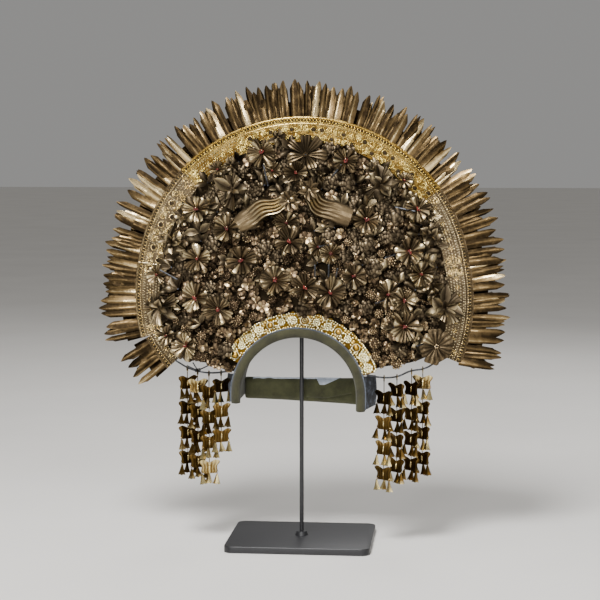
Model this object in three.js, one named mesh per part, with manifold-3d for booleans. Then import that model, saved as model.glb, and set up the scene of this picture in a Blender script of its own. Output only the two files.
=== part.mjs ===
// A bridal crown of gilt sheet-metal flowers on a slim display stand.
// Millimetres, +Z up, front towards -Y. The origin is the middle of the stand's underside.
import * as THREE from "three";
import { mergeVertices } from "three/addons/utils/BufferGeometryUtils.js";
import Module from "manifold-3d";

const wasm = await Module();
wasm.setup();

// Fits between pieces, and the distance under which two points are one
const GAP = 0.3;
const MERGE_DISTANCE = 1e-3;

// Display stand: base plate, rod and the saddle that carries the arch
const BASE_WIDTH = 170;
const BASE_DEPTH = 140;
const BASE_THICK = 8;
const BASE_CORNER = 10;
const BASE_CORNER_STEPS = 4;
const ROD_RADIUS = 2.5;
const ROD_SIDES = 12;
const SADDLE_HALF_ANGLE = 17;
const SADDLE_THICK = 3;
const SADDLE_DEPTH = 28;
const SADDLE_STEPS = 6;

// Head band: an arch of sheet with straight legs
const ARCH_UP = 182;
const BAND_RADIUS = 72;
const BAND_WALL = 2.4;
const BAND_FRONT = -40;
const BAND_BACK = 26;
const LEG_FOOT = 164;
const ARC_STEPS = 24;

// Tin tabs that flare out behind the legs
const TAB_REACH = 12;
const TAB_FRONT = -8;
const TAB_BACK = 24;
const TAB_TOP = 200;
const TAB_THICK = 1.6;

// Padded front roll
const ROLL_WIDTH = 13;
const ROLL_DEPTH = 11;
const ROLL_SIDES = 10;
const ROLL_STEPS = 26;
const ROLL_FOOT_LEFT = 172;
const ROLL_FOOT_RIGHT = 164;

// Padded back bar
const BAR_LENGTH = 138;
const BAR_HEIGHT = 30;
const BAR_THICK = 10;
const BAR_CORNER = 4;
const BAR_CORNER_STEPS = 3;
const BAR_FOOT = 166;
const BAR_SETBACK = 1;

// Fan plate: circles that grow from the arch to the halo, with a flat rim
const FAN_INNER_RADIUS = 73.6;
const FAN_OUTER_RADIUS = 180;
const HALO_UP = 306;
const FAN_START_INNER = 18;
const FAN_START_OUTER = -25;
const FAN_START_DIP = 9;
const FAN_FRONT_INNER = -37;
const FAN_FRONT_OUTER = 12;
const FAN_BULGE = 5;
const FAN_RIM = 0.78;
const FAN_THICK = 1.6;
const FAN_COLUMNS = 28;
const FAN_ROWS = [0, 0.2, 0.4, 0.6, FAN_RIM, 1];
const FAN_MIDDLE_UP = 240;
const FAN_SEARCH_REACH = 400;

// Small filler rosettes soldered on the fan plate
const ROSETTE_RADIUS = 5;
const ROSETTE_FOOT_RADIUS = 2;
const ROSETTE_HEIGHT = 7;
const ROSETTE_SIDES = 6;
const ROSETTE_CLEAR = 9;
const ROSETTE_SINK = 0.8;
const ROSETTE_ROWS = [
  { share: 0.3, count: 7 },
  { share: 0.48, count: 9 },
  { share: 0.64, count: 11 },
  { share: 0.8, count: 14 },
];

// Diadem: scalloped strip with bosses along the arch
const DIADEM_INNER_RADIUS = 73.9;
const DIADEM_DIP_RADIUS = 93;
const DIADEM_CREST_RADIUS = 97;
const DIADEM_START = 17;
const DIADEM_END = 153;
const DIADEM_FRONT = -38.6;
const DIADEM_THICK = 1.2;
const BOSS_COUNT = 15;
const BOSS_CIRCLE = 85.5;
const BOSS_RADIUS = 5;
const BOSS_TOP_RADIUS = 2.6;
const BOSS_HEIGHT = 3.4;
const BOSS_SIDES = 6;

// Halo plates: an arc of strip with a fringe of blades
const HALO_STRIP_RADIUS = 199;
const HALO_SHOULDER_RADIUS = 227;
const HALO_TIP_RADIUS = 238;
const HALO_THICK = 1;
const HALO_LAP = 0.9;
const BLADE_SHOULDER_SHARE = 0.84;
const HALO_PLATES = [
  { from: -27, to: 8, blades: 16, strip: 30, hinge: 8, turn: 5 },
  { from: 8, to: 34, blades: 12, strip: 30, hinge: 21, turn: 0 },
  { from: 34, to: 57, blades: 11, strip: 30, hinge: 45, turn: 0 },
  { from: 57, to: 84, blades: 13, strip: 30, hinge: 70, turn: 0 },
  { from: 84, to: 112, blades: 13, strip: 30, hinge: 98, turn: 0 },
  { from: 112, to: 136, blades: 11, strip: 30, hinge: 124, turn: 0 },
  { from: 136, to: 147, blades: 5, strip: 30, hinge: 141, turn: 0 },
  { from: 147, to: 172, blades: 12, strip: 30, hinge: 160, turn: 0 },
  { from: 172, to: 199, blades: 13, strip: 30, hinge: 172, turn: -4 },
  { from: 200, to: 211, blades: 6, strip: 18, hinge: 200, turn: 10 },
];

// Main blossoms: outline shares of the radius and of half a petal's angle
const PETAL_THICK = 1.1;
const STEM_RADIUS = 1.2;
const STEM_FOOT_LIMIT = 163;
const BLOSSOM_LEAN = 0.22;
const BLOSSOM_KINDS = {
  daisy: { petals: 10, stemSides: 5, notch: 0.55, shoulder: 1, spread: 0.62, pointed: false, cup: 2.6 },
  leaf: { petals: 8, stemSides: 4, notch: 0.36, shoulder: 0.7, spread: 0.74, pointed: true, cup: 3.6 },
  broad: { petals: 4, stemSides: 4, notch: 0.3, shoulder: 0.86, spread: 0.66, pointed: true, cup: 4.5 },
};
const BLOSSOMS = [
  { kind: "daisy", across: -46, up: 462, radius: 18, stand: 16, spin: 4 },
  { kind: "leaf", across: 5, up: 459, radius: 25, stand: 14, spin: 12 },
  { kind: "daisy", across: 52, up: 452, radius: 16, stand: 18, spin: 9 },
  { kind: "daisy", across: -5, up: 438, radius: 15, stand: 27, spin: 0 },
  { kind: "leaf", across: 93, up: 425, radius: 27, stand: 21, spin: 20 },
  { kind: "leaf", across: -80, up: 418, radius: 26, stand: 18, spin: 31 },
  { kind: "daisy", across: -123, up: 395, radius: 17, stand: 18, spin: 6 },
  { kind: "daisy", across: 136, up: 396, radius: 16, stand: 18, spin: 15 },
  { kind: "daisy", across: 77, up: 384, radius: 17, stand: 20, spin: 2 },
  { kind: "daisy", across: -85, up: 373, radius: 18, stand: 20, spin: 11 },
  { kind: "leaf", across: -152, up: 356, radius: 20, stand: 15, spin: 8 },
  { kind: "leaf", across: 152, up: 366, radius: 20, stand: 16, spin: 25 },
  { kind: "daisy", across: -15, up: 380, radius: 15, stand: 15, spin: 13 },
  { kind: "daisy", across: -10, up: 359, radius: 18, stand: 25, spin: 5 },
  { kind: "daisy", across: -120, up: 338, radius: 18, stand: 20, spin: 17 },
  { kind: "daisy", across: -66, up: 337, radius: 19, stand: 22, spin: 1 },
  { kind: "daisy", across: 127, up: 347, radius: 18, stand: 23, spin: 10 },
  { kind: "daisy", across: 140, up: 321, radius: 16, stand: 15, spin: 7 },
  { kind: "daisy", across: 64, up: 320, radius: 15, stand: 20, spin: 14 },
  { kind: "daisy", across: -26, up: 315, radius: 19, stand: 22, spin: 3 },
  { kind: "daisy", across: 9, up: 307, radius: 18, stand: 29, spin: 16 },
  { kind: "daisy", across: 37, up: 301, radius: 19, stand: 21, spin: 8 },
  { kind: "daisy", across: 103, up: 299, radius: 16, stand: 18, spin: 12 },
  { kind: "daisy", across: 122, up: 292, radius: 15, stand: 27, spin: 0 },
  { kind: "daisy", across: -121, up: 293, radius: 19, stand: 21, spin: 9 },
  { kind: "daisy", across: -91, up: 281, radius: 18, stand: 28, spin: 15 },
  { kind: "leaf", across: -168, up: 279, radius: 28, stand: 19, spin: 18 },
  { kind: "leaf", across: 168, up: 281, radius: 27, stand: 19, spin: 2 },
  { kind: "daisy", across: 122, up: 262, radius: 19, stand: 20, spin: 6 },
  { kind: "broad", across: 158, up: 237, radius: 22, stand: 20, spin: 30 },
  { kind: "daisy", across: -134, up: 236, radius: 17, stand: 20, spin: 11 },
];

// Bird plates, drawn with the head towards +along; the other bird is its mirror image
const BIRD_THICK = 1.4;
const BIRD_STAND = 31;
const BIRD_TURN = 11;
const BIRD_STEM_SIDES = 5;
const BIRD_BODY = { along: 9, up: -1, length: 13, height: 7, swell: 4, sides: 8, rings: 6 };
const BIRD_OUTLINE = [
  { along: 37, up: 7 },
  { along: 29, up: 12 },
  { along: 25, up: 17 },
  { along: 20, up: 8 },
  { along: 8, up: 6 },
  { along: -6, up: 4 },
  { along: -34, up: 6 },
  { along: -40, up: -6 },
  { along: -34, up: -18 },
  { along: -6, up: -7 },
  { along: 12, up: -9 },
  { along: 22, up: -3 },
  { along: 28, up: 4 },
];
const BIRDS = [
  { node: "bird_left", across: -44, up: 393, side: 1 },
  { node: "bird_right", across: 35, up: 396, side: -1 },
];

// Side wires from the band's foot to the lower corners of the fan
const WIRE_RADIUS = 1.2;
const WIRE_SIDES = 6;
const WIRE_STEPS = 12;
const WIRE_SEARCH_STEPS = 40;
const WIRES = [
  {
    node: "side_wire_left",
    side: -1,
    points: [
      { across: -69.6, depth: -12, up: 209 },
      { across: -90, depth: -10, up: 204 },
      { across: -114, depth: -5, up: 202 },
      { across: -134, depth: 0, up: 206 },
      { across: -152.5, depth: 8, up: 214.5 },
    ],
  },
  {
    node: "side_wire_right",
    side: 1,
    points: [
      { across: 70.6, depth: -12, up: 205 },
      { across: 90, depth: -10, up: 200 },
      { across: 112, depth: -6, up: 200 },
      { across: 128, depth: -1, up: 206 },
      { across: 148, depth: 5, up: 210 },
      { across: 164.5, depth: 11.2, up: 222.2 },
    ],
  },
];

// Pendant strings: a ring on the wire, then butterfly plates and bells down a link wire
const RING_RADIUS = 3.6;
const RING_WIRE_RADIUS = 0.7;
const RING_SIDES = 10;
const RING_WIRE_SIDES = 5;
const RING_PLAY = 0.6;
const LINK_WIDTH = 1.5;
const TIER_PITCH = 30;
const BUTTERFLY_THICK = 1.2;
const BUTTERFLY_DROP = 9;
const BELL_DROP = 19;
const BELL_HEIGHT = 8;
const BELL_TOP_RADIUS = 1.2;
const BELL_MOUTH_RADIUS = 4;
const BELL_SIDES = 5;
const BELL_LAP = 1;
const BUTTERFLY_OUTLINE = [
  { across: 0, up: 3 },
  { across: 7, up: 6.5 },
  { across: 8.5, up: 3 },
  { across: 4.5, up: 0 },
  { across: 6.5, up: -5.5 },
  { across: 0, up: -3.5 },
];
const PENDANTS = [
  { node: "pendant_l1", side: -1, across: 137, tiers: 4, lower: 6, turn: 30 },
  { node: "pendant_l2", side: -1, across: 124, tiers: 4, lower: 6, turn: -40 },
  { node: "pendant_l3", side: -1, across: 110, tiers: 4, lower: 11, turn: 35 },
  { node: "pendant_l4", side: -1, across: 95, tiers: 3, lower: 4, turn: -30 },
  { node: "pendant_r1", side: 1, across: 98, tiers: 4, lower: 12, turn: -25 },
  { node: "pendant_r2", side: 1, across: 113, tiers: 4, lower: 4, turn: 55 },
  { node: "pendant_r3", side: 1, across: 130, tiers: 4, lower: 9, turn: -35 },
  { node: "pendant_r4", side: 1, across: 143, tiers: 4, lower: 4, turn: 30 },
];

// Finishes
const finish = (color, roughness, metalness) =>
  new THREE.MeshStandardMaterial({ color, roughness, metalness });
const BLACK_STEEL = finish(0x1b1b1d, 0.5, 0.6);
const TIN = finish(0x8c93a5, 0.45, 0.8);
const OLIVE_CLOTH = finish(0x7b7d5e, 0.95, 0);
const DARK_BRASS = finish(0x4a3d2a, 0.55, 0.8);
const BRIGHT_GILT = finish(0xd8b04a, 0.3, 0.9);
const PALE_GILT = finish(0xc9a96a, 0.38, 0.9);
const AGED_GILT = finish(0x7a6849, 0.45, 0.85);
const ORANGE_GILT = finish(0xb8862e, 0.35, 0.9);

const crown = new THREE.Group();
const rad = THREE.MathUtils.degToRad;
const lerp = THREE.MathUtils.lerp;
const at = (x, y, z) => new THREE.Vector3(x, y, z);

function addPiece(name, geometry, material) {
  const mesh = new THREE.Mesh(geometry, material);
  mesh.name = name;
  crown.add(mesh);
}

// Solids for joining pieces
function solidOf(geometry) {
  const bare = geometry.index ? geometry.toNonIndexed() : geometry.clone();
  bare.deleteAttribute("normal");
  bare.deleteAttribute("uv");
  const merged = mergeVertices(bare, MERGE_DISTANCE);
  const mesh = new wasm.Mesh({
    numProp: 3,
    vertProperties: merged.attributes.position.array,
    triVerts: new Uint32Array(merged.index.array),
  });
  return new wasm.Manifold(mesh);
}

function geometryOf(solid) {
  const mesh = solid.getMesh();
  const geometry = new THREE.BufferGeometry();
  geometry.setAttribute("position", new THREE.BufferAttribute(mesh.vertProperties, 3));
  geometry.setIndex(new THREE.BufferAttribute(mesh.triVerts, 1));
  return geometry;
}

function joined(geometries) {
  const solids = geometries.map(solidOf);
  return geometryOf(solids.reduce((whole, next) => whole.add(next)));
}

// A closed sheet: its front points, the triangles between them and the same points on the back
function closedSheet(front, triangles, back) {
  const count = front.length;
  const faces = [];
  const rim = new Map();
  for (const [a, b, c] of triangles) {
    faces.push(a, b, c, a + count, c + count, b + count);
    for (const [p, q] of [[a, b], [b, c], [c, a]]) {
      if (!rim.delete(`${q} ${p}`)) rim.set(`${p} ${q}`, [p, q]);
    }
  }
  for (const [p, q] of rim.values()) {
    faces.push(q, p, p + count, q, p + count, q + count);
  }
  const geometry = new THREE.BufferGeometry().setFromPoints([...front, ...back]);
  geometry.setIndex(faces);
  return geometry;
}

// Triangles of a grid whose columns run round the fan and whose rows run outwards
function gridTriangles(columns, rows) {
  const triangles = [];
  for (let i = 0; i < columns; i++) {
    for (let j = 0; j < rows; j++) {
      const a = i * (rows + 1) + j;
      const c = a + rows + 1;
      triangles.push([a, a + 1, c], [a + 1, c + 1, c]);
    }
  }
  return triangles;
}

const movedBack = (points, thick) => points.map((p) => at(p.x, p.y + thick, p.z));

// A flat outline drawn across and up, given a thickness from front to back
function plateOf(shape, front, thick, curveSegments = ARC_STEPS) {
  const options = { depth: thick, bevelEnabled: false, curveSegments };
  const geometry = new THREE.ExtrudeGeometry(shape, options);
  return geometry.rotateX(Math.PI / 2).translate(0, front + thick, 0);
}

// A straight bar of round wire between two points
function wireBetween(start, end, radius, sides) {
  const along = end.clone().sub(start);
  const bar = new THREE.CylinderGeometry(radius, radius, along.length(), sides);
  const turn = new THREE.Quaternion().setFromUnitVectors(at(0, 1, 0), along.clone().normalize());
  const middle = start.clone().add(end).multiplyScalar(0.5);
  return bar.applyQuaternion(turn).translate(middle.x, middle.y, middle.z);
}

// Display stand
function roundedRectangle(width, height, corner) {
  const x = width / 2 - corner;
  const y = height / 2 - corner;
  const shape = new THREE.Shape();
  shape.absarc(x, y, corner, 0, Math.PI / 2);
  shape.absarc(-x, y, corner, Math.PI / 2, Math.PI);
  shape.absarc(-x, -y, corner, Math.PI, Math.PI * 1.5);
  shape.absarc(x, -y, corner, Math.PI * 1.5, Math.PI * 2);
  return shape;
}

const bandInner = BAND_RADIUS - BAND_WALL / 2;
const bandOuter = BAND_RADIUS + BAND_WALL / 2;

function arcStrip(inner, outer, fromDegrees, toDegrees) {
  const shape = new THREE.Shape();
  shape.absarc(0, ARCH_UP, outer, rad(fromDegrees), rad(toDegrees));
  shape.absarc(0, ARCH_UP, inner, rad(toDegrees), rad(fromDegrees), true);
  return shape;
}

function stand() {
  const outline = roundedRectangle(BASE_WIDTH, BASE_DEPTH, BASE_CORNER);
  const base = new THREE.ExtrudeGeometry(outline, {
    depth: BASE_THICK,
    bevelEnabled: false,
    curveSegments: BASE_CORNER_STEPS,
  });
  const saddleTop = bandInner * Math.cos(Math.PI / ARC_STEPS / 2) - GAP;
  const saddleFoot = saddleTop - SADDLE_THICK;
  const rodTop = ARCH_UP + saddleFoot + SADDLE_THICK / 2;
  const rod = wireBetween(at(0, 0, BASE_THICK / 2), at(0, 0, rodTop), ROD_RADIUS, ROD_SIDES);
  const arc = arcStrip(saddleFoot, saddleTop, 90 - SADDLE_HALF_ANGLE, 90 + SADDLE_HALF_ANGLE);
  const saddle = plateOf(arc, -SADDLE_DEPTH / 2, SADDLE_DEPTH, SADDLE_STEPS);
  return joined([base, rod, saddle]);
}
addPiece("stand", stand(), BLACK_STEEL);

// Head band with its tabs
function headBand() {
  const shape = new THREE.Shape();
  shape.moveTo(bandOuter, LEG_FOOT);
  shape.absarc(0, ARCH_UP, bandOuter, 0, Math.PI);
  shape.lineTo(-bandOuter, LEG_FOOT);
  shape.lineTo(-bandInner, LEG_FOOT);
  shape.absarc(0, ARCH_UP, bandInner, Math.PI, 0, true);
  shape.lineTo(bandInner, LEG_FOOT);
  const arch = plateOf(shape, BAND_FRONT, BAND_BACK - BAND_FRONT);
  const tabs = [-1, 1].map((side) => {
    const tab = new THREE.Shape();
    const root = side * BAND_RADIUS;
    const end = side * (BAND_RADIUS + TAB_REACH);
    tab.moveTo(root, TAB_FRONT);
    tab.lineTo(end, TAB_BACK - TAB_THICK);
    tab.lineTo(end, TAB_BACK);
    tab.lineTo(root, TAB_FRONT + TAB_THICK);
    const options = { depth: TAB_TOP - LEG_FOOT, bevelEnabled: false };
    return new THREE.ExtrudeGeometry(tab, options).translate(0, 0, LEG_FOOT);
  });
  return joined([arch, ...tabs]);
}
addPiece("head_band", headBand(), TIN);

// Path of the roll: up one leg, over the arch and down the other
class ArchPath extends THREE.Curve {
  constructor(radius, depth, leftFoot, rightFoot) {
    super();
    Object.assign(this, { radius, depth });
    this.rightLeg = ARCH_UP - rightFoot;
    this.arc = Math.PI * radius;
    this.whole = this.rightLeg + this.arc + ARCH_UP - leftFoot;
  }

  getPoint(share) {
    const run = share * this.whole - this.rightLeg;
    if (run < 0) return at(this.radius, this.depth, ARCH_UP + run);
    if (run > this.arc) return at(-this.radius, this.depth, ARCH_UP - (run - this.arc));
    const angle = run / this.radius;
    return at(this.radius * Math.cos(angle), this.depth, ARCH_UP + this.radius * Math.sin(angle));
  }
}

function roundSection(width, height, sides) {
  const points = [];
  for (let i = 0; i < sides; i++) {
    const angle = (i / sides) * Math.PI * 2;
    points.push(new THREE.Vector2((width / 2) * Math.cos(angle), (height / 2) * Math.sin(angle)));
  }
  return new THREE.Shape(points);
}

function frontRoll() {
  const depth = BAND_FRONT - GAP - ROLL_DEPTH / 2;
  const path = new ArchPath(BAND_RADIUS, depth, ROLL_FOOT_LEFT, ROLL_FOOT_RIGHT);
  const section = roundSection(ROLL_DEPTH, ROLL_WIDTH, ROLL_SIDES);
  return new THREE.ExtrudeGeometry(section, { steps: ROLL_STEPS, extrudePath: path });
}
addPiece("front_roll", frontRoll(), OLIVE_CLOTH);

function backBar() {
  const section = roundedRectangle(BAR_THICK, BAR_HEIGHT, BAR_CORNER);
  const bar = new THREE.ExtrudeGeometry(section, {
    depth: BAR_LENGTH,
    bevelEnabled: false,
    curveSegments: BAR_CORNER_STEPS,
  });
  bar.rotateX(Math.PI / 2).rotateZ(Math.PI / 2);
  const depth = BAND_BACK - BAR_SETBACK - BAR_THICK / 2;
  return bar.translate(-BAR_LENGTH / 2, depth, BAR_FOOT + BAR_HEIGHT / 2);
}
addPiece("back_bar", backBar(), OLIVE_CLOTH);

// Fan plate
function fanPoint(share, round) {
  const dip = FAN_START_DIP * Math.sin(Math.PI * share);
  const start = lerp(FAN_START_INNER, FAN_START_OUTER, share) - dip;
  const angle = rad(lerp(start, 180 - start, round));
  const radius = lerp(FAN_INNER_RADIUS, FAN_OUTER_RADIUS, share);
  const rise = Math.min(share / FAN_RIM, 1);
  const front = lerp(FAN_FRONT_INNER, FAN_FRONT_OUTER, rise) - FAN_BULGE * Math.sin(Math.PI * rise);
  const up = lerp(ARCH_UP, HALO_UP, share);
  return at(radius * Math.cos(angle), front, up + radius * Math.sin(angle));
}

function fanSheet() {
  const front = [];
  for (let i = 0; i <= FAN_COLUMNS; i++) {
    for (const share of FAN_ROWS) front.push(fanPoint(share, i / FAN_COLUMNS));
  }
  const triangles = gridTriangles(FAN_COLUMNS, FAN_ROWS.length - 1);
  return closedSheet(front, triangles, movedBack(front, FAN_THICK));
}
const plainFan = new THREE.Mesh(fanSheet(), DARK_BRASS);

// Where a line from a point along a direction meets the fan plate
function meetFan(from, direction) {
  const far = from.clone().addScaledVector(direction, -FAN_SEARCH_REACH);
  const hits = new THREE.Raycaster(far, direction).intersectObject(plainFan);
  return hits.length ? hits[0].point : null;
}

// Foot of a stem on the fan plate, drawn in from the rim where the head hangs over it
function stemFoot(across, up) {
  const out = new THREE.Vector2(across, up - HALO_UP);
  if (out.length() > STEM_FOOT_LIMIT) out.setLength(STEM_FOOT_LIMIT);
  return meetFan(at(out.x, 0, HALO_UP + out.y), at(0, 1, 0));
}

// Corners of a stem's foot, each just short of the fan plate along the stem
function footCorners(corners, direction) {
  return corners.map((corner) => meetFan(corner, direction).addScaledVector(direction, -GAP));
}

// Blossoms: petals round a centre in front, and a stem out of the middle of the back
function petalOutline(kind, radius) {
  const outline = [];
  const half = Math.PI / kind.petals;
  const point = (share, angle) => {
    const reach = radius * share;
    outline.push(at(reach * Math.cos(angle), reach * Math.sin(angle), kind.cup * share * share));
  };
  for (let i = 0; i < kind.petals; i++) {
    const middle = i * half * 2;
    point(kind.notch, middle - half);
    point(kind.shoulder, middle - half * kind.spread);
    if (kind.pointed) point(1, middle);
    point(kind.shoulder, middle + half * kind.spread);
  }
  return outline;
}

// Faces of a blossom: point 0 is the centre, then the front outline, the back outline,
// the stem's root and the stem's foot
function blossomFaces(count, sides) {
  const faces = [];
  const frontAt = (i) => 1 + (i % count);
  const backAt = (i) => 1 + count + (i % count);
  const rootAt = (k) => 1 + 2 * count + (k % sides);
  const footAt = (k) => 1 + 2 * count + sides + (k % sides);
  const run = count / sides;
  for (let i = 0; i < count; i++) {
    faces.push(0, frontAt(i), frontAt(i + 1));
    faces.push(frontAt(i + 1), frontAt(i), backAt(i), frontAt(i + 1), backAt(i), backAt(i + 1));
    faces.push(backAt(i + 1), backAt(i), rootAt(Math.floor(i / run)));
  }
  for (let k = 0; k < sides; k++) {
    faces.push(backAt((k + 1) * run), rootAt(k), rootAt(k + 1));
    faces.push(rootAt(k + 1), rootAt(k), footAt(k), rootAt(k + 1), footAt(k), footAt(k + 1));
    if (k > 1) faces.push(footAt(0), footAt(k), footAt(k - 1));
  }
  return faces;
}

function outward(across, up) {
  return new THREE.Vector2(across, up - FAN_MIDDLE_UP).normalize();
}

const stemFeet = [];

function blossom({ kind, across, up, radius, stand: distance, spin }) {
  const foot = stemFoot(across, up);
  stemFeet.push(foot);
  const head = at(across, foot.y - distance, up);
  const lean = outward(across, up).multiplyScalar(BLOSSOM_LEAN);
  const facing = at(lean.x, -1, lean.y).normalize();
  const turn = new THREE.Quaternion().setFromUnitVectors(at(0, 0, 1), facing);
  const placed = (p) => p.applyAxisAngle(at(0, 0, 1), rad(spin)).applyQuaternion(turn).add(head);
  const drawn = BLOSSOM_KINDS[kind];
  const outline = petalOutline(drawn, radius);
  const front = outline.map((p) => placed(p.clone()));
  const back = outline.map((p) => placed(at(p.x, p.y, p.z - PETAL_THICK)));
  const sides = drawn.stemSides;
  const root = [];
  for (let k = 0; k < sides; k++) {
    const angle = (k / sides) * Math.PI * 2 - Math.PI / drawn.petals;
    root.push(placed(at(STEM_RADIUS * Math.cos(angle), STEM_RADIUS * Math.sin(angle), -PETAL_THICK)));
  }
  const feet = footCorners(root, foot.clone().sub(head).normalize());
  const points = [head, ...front, ...back, ...root, ...feet];
  const geometry = new THREE.BufferGeometry().setFromPoints(points);
  return geometry.setIndex(blossomFaces(outline.length, sides));
}
BLOSSOMS.forEach((row, i) => {
  addPiece(`blossom_${String(i + 1).padStart(2, "0")}`, blossom(row), AGED_GILT);
});

// Birds: a flat plate with a swelling body, on a stem
function bird({ across, up, side }) {
  const foot = stemFoot(across, up);
  stemFeet.push(foot);
  const points = BIRD_OUTLINE.map((p) => new THREE.Vector2(p.along * side, p.up));
  const plate = plateOf(new THREE.Shape(points), 0, BIRD_THICK);
  const { along, up: rise, length, height, swell, sides, rings } = BIRD_BODY;
  const body = new THREE.SphereGeometry(1, sides, rings).scale(length, swell, height);
  body.translate(along * side, BIRD_THICK / 2, rise);
  const front = foot.y - BIRD_STAND;
  const whole = joined([plate, body]).rotateY(rad(-BIRD_TURN * side)).translate(across, front, up);
  const stemEnd = foot.y - GAP - STEM_RADIUS / 2;
  const stemStart = at(across, front + BIRD_THICK / 2, up);
  const stem = wireBetween(stemStart, at(across, stemEnd, up), STEM_RADIUS, BIRD_STEM_SIDES);
  return joined([whole, stem]);
}
for (const row of BIRDS) addPiece(row.node, bird(row), AGED_GILT);

// Fan plate with the rosettes that keep clear of the stems
function fanPlate() {
  const parts = [plainFan.geometry];
  for (const { share, count } of ROSETTE_ROWS) {
    for (let i = 0; i < count; i++) {
      const seat = fanPoint(share, (i + 0.5) / count);
      if (stemFeet.some((foot) => foot.distanceTo(seat) < ROSETTE_CLEAR)) continue;
      const length = ROSETTE_HEIGHT + FAN_THICK;
      const cup = new THREE.CylinderGeometry(
        ROSETTE_FOOT_RADIUS,
        ROSETTE_RADIUS,
        length,
        ROSETTE_SIDES,
      );
      const depth = seat.y + FAN_THICK * ROSETTE_SINK - length / 2;
      parts.push(cup.translate(seat.x, depth, seat.z));
    }
  }
  return joined(parts);
}
addPiece("fan_plate", fanPlate(), DARK_BRASS);

// Diadem
function diadem() {
  const scallops = BOSS_COUNT * 2;
  const front = [];
  for (let i = 0; i <= scallops; i++) {
    const angle = rad(lerp(DIADEM_START, DIADEM_END, i / scallops));
    const crest = i % 2 ? DIADEM_CREST_RADIUS : DIADEM_DIP_RADIUS;
    for (const radius of [DIADEM_INNER_RADIUS, crest]) {
      front.push(at(radius * Math.cos(angle), DIADEM_FRONT, ARCH_UP + radius * Math.sin(angle)));
    }
  }
  const strip = closedSheet(front, gridTriangles(scallops, 1), movedBack(front, DIADEM_THICK));
  const parts = [strip];
  for (let i = 0; i < BOSS_COUNT; i++) {
    const angle = rad(lerp(DIADEM_START, DIADEM_END, (i + 0.5) / BOSS_COUNT));
    const boss = new THREE.CylinderGeometry(BOSS_RADIUS, BOSS_TOP_RADIUS, BOSS_HEIGHT, BOSS_SIDES);
    const depth = DIADEM_FRONT + DIADEM_THICK / 2 - BOSS_HEIGHT / 2;
    boss.translate(BOSS_CIRCLE * Math.cos(angle), depth, ARCH_UP + BOSS_CIRCLE * Math.sin(angle));
    parts.push(boss);
  }
  return joined(parts);
}
addPiece("diadem", diadem(), BRIGHT_GILT);

// Halo plates, each second one lapped over its neighbours
function haloPlate({ from, to, blades, strip, hinge, turn }, index) {
  const inFront = index % 2;
  const lap = inFront ? HALO_LAP : 0;
  const front = FAN_FRONT_OUTER - (GAP + HALO_THICK) * (1 + inFront);
  const inner = HALO_STRIP_RADIUS - strip;
  const round = (radius, degrees) =>
    at(radius * Math.cos(rad(degrees)), 0, radius * Math.sin(rad(degrees)));
  const pivot = round(HALO_STRIP_RADIUS, hinge);
  const points = [];
  const place = (radius, degrees) => {
    const p = round(radius, degrees).sub(pivot).applyAxisAngle(at(0, -1, 0), rad(turn)).add(pivot);
    points.push(at(p.x, front, p.z + HALO_UP));
  };
  const pitch = (to - from + 2 * lap) / blades;
  for (let i = 0; i <= blades; i++) {
    place(inner, from - lap + i * pitch);
    place(HALO_STRIP_RADIUS, from - lap + i * pitch);
  }
  const triangles = gridTriangles(blades, 1);
  for (let i = 0; i < blades; i++) {
    const mid = from - lap + (i + 0.5) * pitch;
    const reach = (pitch / 2) * BLADE_SHOULDER_SHARE;
    const root = 2 * i + 1;
    const shoulder = points.length;
    place(HALO_SHOULDER_RADIUS, mid - reach);
    place(HALO_SHOULDER_RADIUS, mid + reach);
    place(HALO_TIP_RADIUS, mid);
    triangles.push([root, shoulder, root + 2]);
    triangles.push([shoulder, shoulder + 1, root + 2]);
    triangles.push([shoulder, shoulder + 2, shoulder + 1]);
  }
  return closedSheet(points, triangles, movedBack(points, HALO_THICK));
}
HALO_PLATES.forEach((row, i) => {
  addPiece(`halo_${String(i + 1).padStart(2, "0")}`, haloPlate(row, i), PALE_GILT);
});

// Side wires
const wirePaths = {};
for (const { node, side, points } of WIRES) {
  const path = new THREE.CatmullRomCurve3(points.map((p) => at(p.across, p.depth, p.up)));
  wirePaths[side] = path;
  const section = roundSection(2 * WIRE_RADIUS, 2 * WIRE_RADIUS, WIRE_SIDES);
  const wire = new THREE.ExtrudeGeometry(section, { steps: WIRE_STEPS, extrudePath: path });
  addPiece(node, wire, TIN);
}

// Point of a side wire at a distance from the middle of the crown
function wirePoint(side, across) {
  let low = 0;
  let high = 1;
  for (let i = 0; i < WIRE_SEARCH_STEPS; i++) {
    const share = (low + high) / 2;
    if (Math.abs(wirePaths[side].getPointAt(share).x) < across) low = share;
    else high = share;
  }
  return { hold: wirePaths[side].getPointAt(low), run: wirePaths[side].getTangentAt(low) };
}

// Pendant strings
function butterfly(up) {
  const half = BUTTERFLY_OUTLINE.map((p) => new THREE.Vector2(p.across, p.up));
  const mirrored = half.slice(1, -1).reverse();
  const outline = [...half, ...mirrored.map((p) => new THREE.Vector2(-p.x, p.y))];
  const plate = plateOf(new THREE.Shape(outline), -BUTTERFLY_THICK / 2, BUTTERFLY_THICK);
  return plate.translate(0, 0, up);
}

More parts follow.
